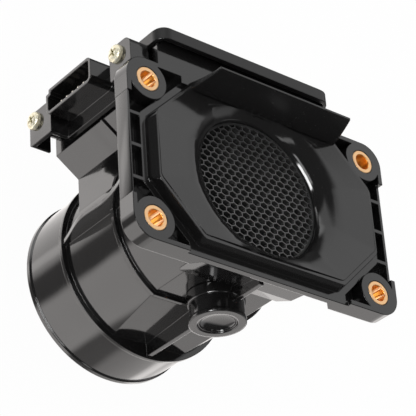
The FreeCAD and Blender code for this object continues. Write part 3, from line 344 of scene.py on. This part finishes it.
def relief(tree, depth, height, normal=None):
    """Bump of a given depth, over another normal if one is given."""
    values = {"Strength": 1.0, "Distance": depth, "Height": height}
    if normal:
        values["Normal"] = normal
    return node(tree, "ShaderNodeBump", values=values)


def blend(tree, share, first, second):
    """Colour that goes from the first to the second."""
    return node(tree, "ShaderNodeMix", {"data_type": "RGBA"}, {"Factor": share, "A": first, "B": second},
                output="Result")


def finished(material, sockets):
    """Ends a material with the standard shader, whose sockets get these values or links."""
    tree = material.node_tree
    shader = node(tree, "ShaderNodeBsdfPrincipled", values=sockets)
    node(tree, "ShaderNodeOutputMaterial", values={"Surface": shader})
    return material


def off_axis(tree, spot):
    """Distance from the piece's own Z axis."""
    across = part_of(tree, spot, "X")
    along = part_of(tree, spot, "Y")
    return (across * across + along * along).root()


def edge_size(tree):
    """Rounding of the housing's edges: larger on the end of the bypass stub."""
    finish = settings("finish")
    stub_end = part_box("meter_body")[0].y
    near = part_of(tree, place(tree), "Y") < stub_end + 3 * finish.stub_radius
    return near * (finish.stub_radius - finish.edge_radius) + finish.edge_radius


def moulded_plastic(name, colour, roughness, ior=1.65, grain=0.0, radius=None):
    """Glossy moulded plastic: rounded edges, sink marks, uneven gloss and a few pale specks of dust."""
    material, tree = new_material(name)
    height = part_of(tree, place(tree), "Z")
    barrel = 1 - height.step(*BARREL_END)
    hood = height.step(*HOOD_FOOT)
    dust = noise(tree, 1600, 1).step(0.74, 0.8)
    normal = rounded(tree, edge_size(tree) if radius is None else radius)
    normal = relief(tree, 0.0015 * MM, noise(tree, 260, 3), normal)
    normal = relief(tree, 0.22 * MM, noise(tree, 45, 1) * barrel, normal)
    if grain:
        normal = relief(tree, grain * MM, noise(tree, 3500, 2), normal)
    return finished(material, {
        "Base Color": blend(tree, dust * 0.3, colour, DUST_COLOUR),
        "Roughness": noise(tree, 120, 3) * 0.06 + (roughness - 0.03) + dust * 0.15 + hood * 0.14,
        "IOR": ior, "Normal": normal})


def comb_painted_light(name, edge, inside):
    """Front edges of the cells are painted paler than the walls inside them, a painted highlight, and the
    walls and the ring round them are painted black as shade.
    """
    material, tree = new_material(name)
    spot = place(tree)
    within = 1 - off_axis(tree, spot).step(*COMB_RIM)
    facing = part_of(tree, node(tree, "ShaderNodeNewGeometry", output="Normal"), "Z").step(0.6, 0.95)
    # Painted light and shade: up-facing front faces inside the rim get the paler colour, while the cell walls
    # and the rim stay near black
    front = part_of(tree, spot, "Z").step(*COMB_FACE) * facing * within
    return finished(material, {
        "Base Color": blend(tree, front, inside, edge),
        "Roughness": noise(tree, 300) * 0.1 + (1 - front) * 0.4 + 0.25, "IOR": 1.8,
        "Normal": relief(tree, 0.002 * MM, noise(tree, 1200), rounded(tree, 0.22 * MM))})


def brass_metal(name, face, deep, bore):
    """Turned brass with tool rings, with painted shade inside the bore, where the colour grows darker and
    deeper.
    """
    material, tree = new_material(name)
    spot = place(tree)
    stain = noise(tree, 900, 3)
    # Painted shade: the bore's walls blend to the darker bore colour
    inside = 1 - off_axis(tree, spot).step(bore + 0.05 * MM, bore + 0.35 * MM)
    rings = node(tree, "ShaderNodeTexWave", {"wave_type": "RINGS", "rings_direction": "Z"},
                 {"Vector": spot, "Scale": 900.0, "Distortion": 0.4, "Detail": 1.0}, "Fac")
    return finished(material, {
        "Base Color": blend(tree, inside, face, deep), "Metallic": 0.75, "Roughness": stain * 0.12 + 0.24,
        "Normal": relief(tree, 0.003 * MM, rings + stain * 0.5, rounded(tree, 0.15 * MM))})


def plain_metal(name, colour, roughness, metallic=1.0):
    """Metal with a faint unevenness and a slight stain, which is a little darker and warmer."""
    material, tree = new_material(name)
    stain = noise(tree, 500, 4).step(0.35, 0.75)
    stained = tuple(part * 0.85 * warmth for part, warmth in zip(colour, (1.0, 0.92, 0.8)))
    return finished(material, {
        "Base Color": blend(tree, stain, colour, stained), "Metallic": metallic,
        "Roughness": stain * 0.1 + (roughness - 0.05),
        "Normal": relief(tree, 0.004 * MM, noise(tree, 1800, 2) * 0.4, rounded(tree, 0.12 * MM))})


def soft_seal(name, colour):
    """Dull sealant or rubber with a fine uneven skin."""
    material, tree = new_material(name)
    return finished(material, {
        "Base Color": colour, "Roughness": noise(tree, 200) * 0.2 + 0.5,
        "Normal": relief(tree, 0.03 * MM, noise(tree, 900, 4))})


def lacquered_board(name, colour):
    """Board with paler tracks under its coloured lacquer."""
    material, tree = new_material(name)
    flat = node(tree, "ShaderNodeMapping", values={"Vector": place(tree), "Rotation": (math.pi / 2, 0, 0)})
    tracks = node(tree, "ShaderNodeTexBrick", {"offset": 0.5}, {
        "Vector": flat, "Scale": 260.0, "Mortar Size": 0.03, "Color1": (0, 0, 0), "Color2": (0, 0, 0),
        "Mortar": (1, 1, 1)})
    return finished(material, {
        "Base Color": blend(tree, tracks, colour, tuple(part * 1.7 for part in colour)),
        "Roughness": noise(tree, 400) * 0.1 + 0.25})


# Helpers for meshes

def mesh_piece(name, mesh, material, nodes=(), smooth_angle=40):
    """Makes an object from a bmesh, with its sharp edges kept, and lets it ride on the housing."""
    data = bpy.data.meshes.new(name)
    mesh.normal_update()
    for edge in mesh.edges:
        if edge.calc_face_angle(0) > math.radians(smooth_angle):
            edge.smooth = False
    for face in mesh.faces:
        face.smooth = True
    mesh.to_mesh(data)
    mesh.free()
    piece = bpy.data.objects.new(name, data)
    bpy.context.collection.objects.link(piece)
    data.materials.append(material)
    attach(piece, "root")
    if nodes:
        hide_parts(*nodes)
    return piece


def bridge(mesh, near, far):
    """Faces between two rings that have as many points each."""
    for index in range(len(near)):
        following = (index + 1) % len(near)
        mesh.faces.new((near[index], near[following], far[following], far[index]))


def closed_skin(rows, loop=False):
    """Closed mesh through rows of points, which goes back to the first row or has a face at each end."""
    mesh = bmesh.new()
    rings = [[mesh.verts.new(point) for point in row] for row in rows]
    for near, far in zip(rings, rings[1:]):
        bridge(mesh, near, far)
    if loop:
        bridge(mesh, rings[-1], rings[0])
    else:
        mesh.faces.new(rings[0])
        mesh.faces.new(rings[-1])
    bmesh.ops.recalc_face_normals(mesh, faces=mesh.faces)
    return mesh


def lathe(profile, shape=None, loop=False):
    """Turned mesh about Z from (radius, height) pairs; shape may change a radius by its row and angle."""
    rows = []
    for row, (radius, height) in enumerate(profile):
        points = []
        for index in range(TURN_STEPS):
            turn = 2 * math.pi * index / TURN_STEPS
            reach = shape(row, turn, radius) if shape else radius
            points.append((reach * math.cos(turn), reach * math.sin(turn), height))
        rows.append(points)
    return closed_skin(rows, loop)


def refinish(name, material):
    """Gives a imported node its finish."""
    for slot in NODES[name].material_slots:
        slot.material = material


# The pieces

class AIRFLOW_OT_housing(bpy.types.Operator):
    """Finish the housing, lid and connector plate in black, and add the housing's small forms"""
    bl_idname = "airflow.housing"
    bl_label = "Housing"

    def execute(self, context):
        finish = settings("finish")
        colour = tuple(finish.plastic_colour)
        black = moulded_plastic("moulded black", colour, finish.plastic_roughness)
        satin = moulded_plastic("satin black", colour, finish.cover_roughness, ior=1.5, grain=0.003)
        refinish("meter_body", black)
        refinish("connector_plate", black)
        refinish("electronics_cover", satin)
        side_fill(black)
        stub_collar(black)
        wall_rib(black)
        for side in (-1, 1):
            hood_bead(black, side)
        return {"FINISHED"}


def side_fill(material):
    """The flange's side towards the connector is flush between its two corners."""
    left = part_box("meter_body")[0].x
    middle, reach = -1.3 * MM, 22.6 * MM
    low = Vector((left, middle - reach, 97.0 * MM))
    high = Vector((left + 0.9 * MM, middle + reach, 104.7 * MM))
    mesh = bmesh.new()
    bmesh.ops.create_cube(mesh, size=1)
    for vert in mesh.verts:
        for axis in range(3):
            vert.co[axis] = high[axis] if vert.co[axis] > 0 else low[axis]
    bmesh.ops.bevel(mesh, geom=mesh.edges[:], offset=0.25 * MM, segments=3, affect="EDGES", profile=0.5)
    mesh_piece("flange_side", mesh, material, smooth_angle=80)


def stub_collar(material):
    """Low collar round the root of the bypass stub, from pairs of radius and distance from the stub's end."""
    low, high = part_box("bypass_plug")
    inner, face, root = 10.7, 8.0, 12.6
    outline = ((inner, face), (11.1, face), (11.35, 8.12), (11.5, 8.4), (11.55, 8.8), (11.6, root),
               (inner, root))
    mesh = lathe([(radius * MM, depth * MM) for radius, depth in outline], loop=True)
    collar = mesh_piece("stub_collar", mesh, material, smooth_angle=60)
    stub_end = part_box("meter_body")[0].y
    collar.location = ((low.x + high.x) / 2, stub_end, (low.z + high.z) / 2)
    collar.rotation_euler = (-math.pi / 2, 0, 0)


def wall_rib(material):
    """Slim rib across the slanted wall of the electronics box."""
    top = Vector((-48.0, 34.6, 66.0)) * MM
    foot = Vector((-37.4, 27.0, 66.0)) * MM
    overlap = 0.4 * MM
    sunk, proud = -0.5 * MM, 0.8 * MM
    way = (foot - top).normalized()
    out = Vector((way.y, -way.x, 0))
    half = Vector((0, 0, 0.5 * MM))
    section = ((sunk, -1), (proud, -1), (proud, 1), (sunk, 1))
    mesh = closed_skin([[spot + out * side + half * up for side, up in section]
                        for spot in (top - way * overlap, foot)])
    mesh_piece("box_rib", mesh, material)


def hood_bead(material, side):
    """Rounded edge along one end of the hood, which narrows, leans out and flares as it rises."""
    foot = Vector((36.45, 29.85, 107.9))
    rise, narrowing, lean, flare = 14.3, 3.6, 1.02, 1.58
    radius, points, steps = 0.42, 14, 12
    turns = [2 * math.pi * index / steps for index in range(steps)]
    rows = []
    for point in range(points + 1):
        share = point / points
        spot = foot + Vector((-narrowing * share, (lean + flare * share) * share, rise * share))
        spot.x *= side
        rows.append([(spot + Vector((math.cos(turn), math.sin(turn), 0)) * radius) * MM for turn in turns])
    name = "hood_edge_left" if side < 0 else "hood_edge_right"
    mesh_piece(name, closed_skin(rows), material)


class AIRFLOW_OT_mouth(bpy.types.Operator):
    """Lay the smooth skin of the mouth, from the eight-sided rim to the round throat"""
    bl_idname = "airflow.mouth"
    bl_label = "Mouth"

    def execute(self, context):
        form = settings("mouth")
        finish = settings("finish")
        outline = rounded_octagon(form)
        levels = mouth_levels(form)
        mesh = closed_skin([mouth_row(form, outline, *level) for level in levels], loop=True)
        normals = mouth_normals(form, outline, levels, mesh)
        black = moulded_plastic("mouth black", tuple(finish.plastic_colour), finish.plastic_roughness,
                                radius=0.05 * MM)
        piece = mesh_piece("mouth", mesh, black, smooth_angle=180)
        piece.data.normals_split_custom_set_from_vertices(normals)
        return {"FINISHED"}


def mouth_levels(form):
    """Each row's share of the way from rim to throat, and its height: the mouth, then the throat's wall.

    The first row inside the rim stands a small share in, and the slope is straight up to a larger share.
    """
    steps = 36
    first_share = 0.012
    straight = 0.6
    levels = [(0.0, form.rim_height)]
    for step in range(steps + 1):
        share = max(first_share, math.sin(step / steps * math.pi / 2))
        turn = max(0.0, (share - straight) / (1 - straight))
        depth = 0.5 * share + 0.5 * (1 - math.sqrt(max(0.0, 1 - turn * turn)))
        levels.append((share, form.rim_height - depth * form.depth))
    throat = form.rim_height - form.depth
    for drop in (0.15, 0.3, 0.45, 0.6, 0.75, 0.9, 1.0):
        levels.append((1.0, throat - drop * (throat - form.comb_height)))
    return levels


def mouth_row(form, outline, share, height):
    """The rim's outline, drawn in towards the round throat."""
    points = []
    for x, y in outline:
        reach = math.hypot(x, y)
        scale = (reach + (form.throat_radius - form.skin - reach) * share) / reach
        points.append((x * scale, y * scale, height + form.skin))
    return points


def mouth_normals(form, outline, levels, mesh):
    """Normals of the mouth's skin, turned at the rim and over the lip so that both look rounded."""
    rim_turn = 0.8
    widest_lip = 0.7
    mesh.normal_update()
    normals = [vert.normal.copy() for vert in mesh.verts]
    count = len(outline)
    throat = form.rim_height - form.depth
    for index, (x, y) in enumerate(outline):
        outward = Vector((x, y, 0)).normalized()
        normals[index] = normals[count + index].slerp(outward, rim_turn)
        run = math.hypot(x, y) - form.throat_radius
        lip = min(form.lip, widest_lip * run)
        start = None
        for row, (share, height) in enumerate(levels):
            left = run * (1 - share)
            if left < lip:
                if start is None:
                    start = normals[(row - 1) * count + index]
                below = max(0.0, throat - height)
                way = (lip - left + below) / (lip + throat - form.comb_height)
                normals[row * count + index] = start.slerp(-outward, form.lip_turn * way)
    return normals


def rounded_octagon(form):
    """Outline of the rim's inner edge: straight sides and eight small arcs."""
    arc_steps, side_steps = 6, 14
    wide, high, cut = form.half_width, form.half_height, form.corner_sum
    corners = []
    for side, up, swapped in ((1, 1, False), (-1, 1, True), (-1, -1, False), (1, -1, True)):
        pair = [Vector((side * wide, up * (cut - wide))), Vector((side * (cut - high), up * high))]
        corners += reversed(pair) if swapped else pair
    outline = []
    for index, corner in enumerate(corners):
        before = (corners[index - 1] - corner).normalized()
        after = (corners[(index + 1) % 8] - corner).normalized()
        half = before.angle(after) / 2
        centre = corner + (before + after).normalized() * form.corner_radius / math.sin(half)
        start = corner + before * form.corner_radius / math.tan(half)
        end = corner + after * form.corner_radius / math.tan(half)
        for step in range(arc_steps + 1):
            arm = (start - centre).lerp(end - centre, step / arc_steps).normalized()
            outline.append(centre + arm * form.corner_radius)
        following = corners[(index + 1) % 8]
        run = (following - corner).length - 2 * form.corner_radius
        for step in range(1, side_steps):
            outline.append(end + after * run * step / side_steps)
    return [(spot.x, spot.y) for spot in outline]


class AIRFLOW_OT_comb(bpy.types.Operator):
    """Finish the honeycomb disc and the vortex generator behind it"""
    bl_idname = "airflow.comb"
    bl_label = "Honeycomb"

    def execute(self, context):
        comb = comb_painted_light("comb", tuple(settings("finish").comb_lit_colour), NEAR_BLACK)
        refinish("honeycomb_straightener", comb)
        refinish("vortex_generator", moulded_plastic("generator", NEAR_BLACK, 0.35, ior=1.5))
        return {"FINISHED"}


class AIRFLOW_OT_inserts(bpy.types.Operator):
    """Turn the four brass sleeves with grooves along their bores"""
    bl_idname = "airflow.inserts"
    bl_label = "Inserts"

    def execute(self, context):
        form = settings("insert")
        finish = settings("finish")
        brass = brass_metal("brass", tuple(finish.brass_colour), tuple(finish.bore_shade_colour), form.bore_radius)
        for index in range(1, 5):
            name = "mounting_insert_%d" % index
            low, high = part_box(name)
            groove = form.groove_depth if index <= form.grooved else 0.0
            mesh = sleeve(form, (high.x - low.x) / 2, (high.z - low.z) / 2, groove)
            piece = mesh_piece("insert_%d" % index, mesh, brass, (name,))
            piece.location = (low + high) / 2
        return {"FINISHED"}


def sleeve(form, outer, half, groove):
    """Chamfered sleeve of an outer radius and half length, with grooves of this depth along its bore."""
    bore, cut = form.bore_radius, form.chamfer
    profile = [(bore, -half + cut), (bore + cut, -half), (outer - cut, -half), (outer, -half + cut),
               (outer, half - cut), (outer - cut, half), (bore + cut, half), (bore, half - cut)]
    bore_rows = (0, len(profile) - 1)
    land, steepness = 0.2, 2.5

    def grooved(row, turn, radius):
        """Cuts the grooves where a wave round the bore rises over the land between them."""
        if row not in bore_rows:
            return radius
        wave = math.cos(turn * form.groove_count)
        return radius + groove * max(0.0, min(1.0, (wave - land) * steepness))

    return lathe(profile, grooved, loop=True)


class AIRFLOW_OT_screws(bpy.types.Operator):
    """Make the connector's two pan head screws with their cross recess"""
    bl_idname = "airflow.screws"
    bl_label = "Screws"

    def execute(self, context):
        form = settings("screw")
        zinc = plain_metal("yellow zinc", tuple(settings("finish").zinc_colour), 0.42, metallic=0.5)
        # Painted shade for the cross recess
        olive_shade = plain_metal("olive recess", tuple(settings("finish").recess_shade_colour), 0.4, metallic=0.6)
        for index in (1, 2):
            name = "connector_screw_%d" % index
            low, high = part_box(name)
            mesh = pan_head(form, high.x - low.x)
            piece = mesh_piece("screw_%d" % index, mesh, zinc, (name,))
            piece.data.materials.append(olive_shade)
            piece.location = (low.x, (low.y + high.y) / 2, (low.z + high.z) / 2)
            piece.rotation_euler = (0, math.pi / 2, 0)
        return {"FINISHED"}


def pan_head(form, length):
    """Pan head screw along +Z, with its crown at the origin and a cross recess sunk into it."""
    radius, height = form.head_radius, form.head_height
    crown, shank, point = 0.02 * MM, 2.0 * MM, 0.4 * MM
    rows, dome, bulge = 26, 0.62 * height, 1.25
    profile = []
    for row in range(rows + 1):
        turn = row / rows * math.pi / 2
        profile.append((max(radius * math.sin(turn), crown), dome * (1 - math.cos(turn)) ** bulge))
    profile += [(radius, height), (shank, height), (shank, length - point), (shank - point, length)]
    mesh = lathe(profile)
    sink_cross(form, mesh)
    return mesh


def sink_cross(form, mesh):
    """Sinks the cross into the head's dome, and gives its faces the second finish, whose darker olive is
    painted shade in the recess.
    """
    half = form.recess_length / 2
    tip_width, gain = 0.32 * MM, 0.25 * MM
    side_slope, end_slope = 0.18 * MM, 0.5 * MM
    sunk = set()
    for vert in mesh.verts:
        if vert.co.z >= form.head_height:
            continue
        reach = math.hypot(vert.co.x, vert.co.y)
        turn = math.atan2(vert.co.y, vert.co.x) + form.recess_turn
        across, along = sorted((abs(reach * math.cos(turn)), abs(reach * math.sin(turn))))
        width = tip_width + gain * max(0.0, 1 - along / half)
        if along < half and across < width:
            side = min(1.0, (width - across) / side_slope)
            end = min(1.0, (half - along) / end_slope)
            vert.co.z += form.recess_depth * side * end
            sunk.add(vert)
    # Painted shade: faces sunk in the recess take the darker second material
    for face in mesh.faces:
        if sunk.issuperset(face.verts):
            face.material_index = 1


class AIRFLOW_OT_plug(bpy.types.Operator):
    """Turn the dished plug that closes the bypass stub"""
    bl_idname = "airflow.plug"
    bl_label = "Bypass plug"

    def execute(self, context):
        low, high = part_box("bypass_plug")
        radius = (high.x - low.x) / 2
        chamfer, lip = 0.3 * MM, 0.7 * MM
        sag, fullness, rows = 2.0 * MM, 0.8, 20
        dish, middle = radius - lip, 0.01 * MM
        profile = [(radius, high.y - low.y), (radius, chamfer), (radius - chamfer, 0.0), (dish, 0.0)]
        for row in range(1, rows + 1):
            turn = row / rows * math.pi / 2
            profile.append((max(dish * math.cos(turn), middle), sag * math.sin(turn) ** fullness))
        colour = tuple(settings("finish").plastic_colour)
        gloss = moulded_plastic("plug black", colour, 0.06, radius=0.2 * MM)
        plug = mesh_piece("plug", lathe(profile), gloss, ("bypass_plug",))
        plug.location = ((low.x + high.x) / 2, low.y, (low.z + high.z) / 2)
        plug.rotation_euler = (-math.pi / 2, 0, 0)
        return {"FINISHED"}


class AIRFLOW_OT_pins(bpy.types.Operator):
    """Make the connector's five pins with their chamfered tips"""
    bl_idname = "airflow.pins"
    bl_label = "Pins"

    def execute(self, context):
        form = settings("pin")
        tin = plain_metal("tinned pin", (0.85, 0.84, 0.8), 0.3, metallic=0.6)
        half_width, half_thickness = form.width / 2, form.thickness / 2
        for index in range(1, 6):
            name = "terminal_%d" % index
            low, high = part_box(name)
            middle = (low + high) / 2
            tip = low.x - form.reach
            rows = [[(x - middle.x, side * half_width * size, up * half_thickness * size)
                     for side, up in ((-1, -1), (1, -1), (1, 1), (-1, 1))]
                    for x, size in ((tip, form.tip_size), (tip + form.taper, 1.0), (high.x, 1.0))]
            pin = mesh_piece("pin_%d" % index, closed_skin(rows), tin, (name,))
            pin.location = (middle.x, high.y - half_width, middle.z)
        return {"FINISHED"}


class AIRFLOW_OT_inside(bpy.types.Operator):
    """Finish the seals, the bypass adjuster, the probe and everything under the lid"""
    bl_idname = "airflow.inside"
    bl_label = "Inner pieces"

    def execute(self, context):
        steel = plain_metal("plain steel", (0.6, 0.6, 0.6), 0.35)
        can = plain_metal("bright can", (0.75, 0.75, 0.76), 0.25)
        brass = plain_metal("adjuster brass", tuple(settings("finish").brass_colour), 0.35)
        seal = soft_seal("sealant", (0.05, 0.05, 0.052))
        chip = soft_seal("chip black", (0.02, 0.02, 0.02))
        probe = soft_seal("probe brown", (0.25, 0.14, 0.06))
        board = lacquered_board("board green", (0.03, 0.16, 0.07))
        finishes = {"board_screw": steel, "capacitor": can, "bypass_screw_seal": seal,
                    "bypass_screw": brass, "cover_seal": seal, "connector_seal": seal, "signal_chip": chip,
                    "pressure_sensor": chip, "barometric_sensor": chip, "temperature_probe": probe,
                    "circuit_board": board}
        for name in NODES:
            for start in sorted(finishes, key=len, reverse=True):
                if name.startswith(start):
                    refinish(name, finishes[start])
                    break
        return {"FINISHED"}


# Floor, light and camera

def white_floor():
    """Pale floor that keeps a faint shadow; the camera sees it near white."""
    material, tree = new_material("studio floor")
    seen = node(tree, "ShaderNodeLightPath", output="Is Camera Ray")
    matt = node(tree, "ShaderNodeBsdfDiffuse", values={"Color": (0.85, 0.85, 0.85)})
    bright = node(tree, "ShaderNodeEmission", values={"Color": (1, 1, 1), "Strength": 1.0})
    mixed = node(tree, "ShaderNodeMixShader", values=[seen * 0.97, matt, bright])
    node(tree, "ShaderNodeOutputMaterial", values={"Surface": mixed})
    return material


class Sky:
    """Directions of a world tree, with soft cards given by compass and height angles in degrees."""

    def __init__(self, tree):
        way = node(tree, "ShaderNodeTexCoord", output="Generated")
        self.x = part_of(tree, way, "X")
        self.y = part_of(tree, way, "Y")
        self.rise = part_of(tree, way, "Z")

    def card(self, compass, half_width, low, high, soft=6.0):
        """1 inside a card round the compass direction and between two heights, with soft edges."""
        turn = math.radians(compass)
        flat = (self.x * self.x + self.y * self.y).root() + 1e-4
        facing = (self.x * math.cos(turn) + self.y * math.sin(turn)) / flat
        outer = math.cos(math.radians(half_width + soft))
        inner = math.cos(math.radians(max(half_width - soft, 0)))
        side = facing.step(outer, inner)
        above = self.over(low, soft) if low > STRAIGHT_DOWN else 1.0
        return side * above * (1 - self.over(high, soft))

    def over(self, height, soft):
        """1 above a height angle, with a soft edge."""
        return self.rise.step(math.sin(math.radians(height - soft)), math.sin(math.radians(height + soft)))


def studio_world():
    """Plain light all round; mirrors see a pale table, soft cards and the dark room between them."""
    world = bpy.data.worlds.new("studio")
    bpy.context.scene.world = world
    world.use_nodes = True
    tree = world.node_tree
    tree.nodes.clear()
    sky = Sky(tree)
    mirror_light = ROOM_LIGHT
    for strength, *card in CARDS:
        mirror_light = mirror_light + sky.card(*card) * strength
    camera = node(tree, "ShaderNodeLightPath", output="Is Camera Ray")
    glossy = node(tree, "ShaderNodeLightPath", output="Is Glossy Ray")
    strength = camera + glossy * mirror_light + (1 - camera - glossy) * PLAIN_LIGHT
    tint = blend(tree, glossy * (1 - sky.over(TABLE_EDGE, 4.0)), (1, 1, 1), TABLE_TINT)
    light = node(tree, "ShaderNodeBackground", values={"Color": tint, "Strength": strength})
    node(tree, "ShaderNodeOutputWorld", values={"Surface": light})


class AIRFLOW_OT_stage(bpy.types.Operator):
    """Set the pale floor, the studio light and the camera"""
    bl_idname = "airflow.stage"
    bl_label = "Stage"

    def execute(self, context):
        form = settings("stage")
        scene = context.scene
        scene.collection.objects.link(pale_floor(form))
        studio_world()
        scene.camera = fixed_camera(form)
        scene.collection.objects.link(scene.camera)
        scene.view_settings.view_transform = "Standard"
        return {"FINISHED"}


def pale_floor(form):
    """Square floor that mirrors don't see."""
    half = form.floor_size / 2
    data = bpy.data.meshes.new("floor")
    corners = [(-half, -half, 0), (half, -half, 0), (half, half, 0), (-half, half, 0)]
    data.from_pydata(corners, [], [(0, 1, 2, 3)])
    data.materials.append(white_floor())
    floor = bpy.data.objects.new("floor", data)
    floor.visible_glossy = False
    return floor


def fixed_camera(form):
    """Camera that stands where the photograph's did, with its lens on a sensor 36 mm wide."""
    data = bpy.data.cameras.new("camera")
    data.sensor_width = 36.0
    data.lens = form.lens
    data.clip_start = 0.05
    data.clip_end = 50
    camera = bpy.data.objects.new("camera", data)
    turn = Matrix((CAMERA_RIGHT, CAMERA_UP, CAMERA_BACK)).transposed()
    camera.matrix_world = Matrix.Translation(form.camera_place) @ turn.to_4x4()
    return camera


# Panel and run

STEPS = (AIRFLOW_OT_housing, AIRFLOW_OT_mouth, AIRFLOW_OT_comb, AIRFLOW_OT_inserts, AIRFLOW_OT_screws,
         AIRFLOW_OT_plug, AIRFLOW_OT_pins, AIRFLOW_OT_inside, AIRFLOW_OT_stage)


class AIRFLOW_PT_panel(bpy.types.Panel):
    """The airflow meter's sizes and steps"""
    bl_idname = "AIRFLOW_PT_panel"
    bl_label = "Airflow meter"
    bl_space_type = "VIEW_3D"
    bl_region_type = "UI"
    bl_category = "Airflow meter"

    def draw(self, context):
        for name, group in SETTINGS.items():
            box = self.layout.box()
            box.label(text=name.capitalize())
            for field in group.__annotations__:
                box.prop(settings(name), field)
        for step in STEPS:
            self.layout.operator(step.bl_idname)


def register():
    for group in (*SETTINGS.values(), *STEPS, AIRFLOW_PT_panel):
        bpy.utils.register_class(group)
    for name, group in SETTINGS.items():
        setattr(bpy.types.Scene, "airflow_" + name, bpy.props.PointerProperty(type=group))


def unregister():
    for name in SETTINGS:
        delattr(bpy.types.Scene, "airflow_" + name)
    for group in (AIRFLOW_PT_panel, *reversed(STEPS), *SETTINGS.values()):
        bpy.utils.unregister_class(group)


def main():
    register()
    for step in STEPS:
        family, action = step.bl_idname.split(".")
        getattr(getattr(bpy.ops, family), action)()


if __name__ == "__main__":
    main()
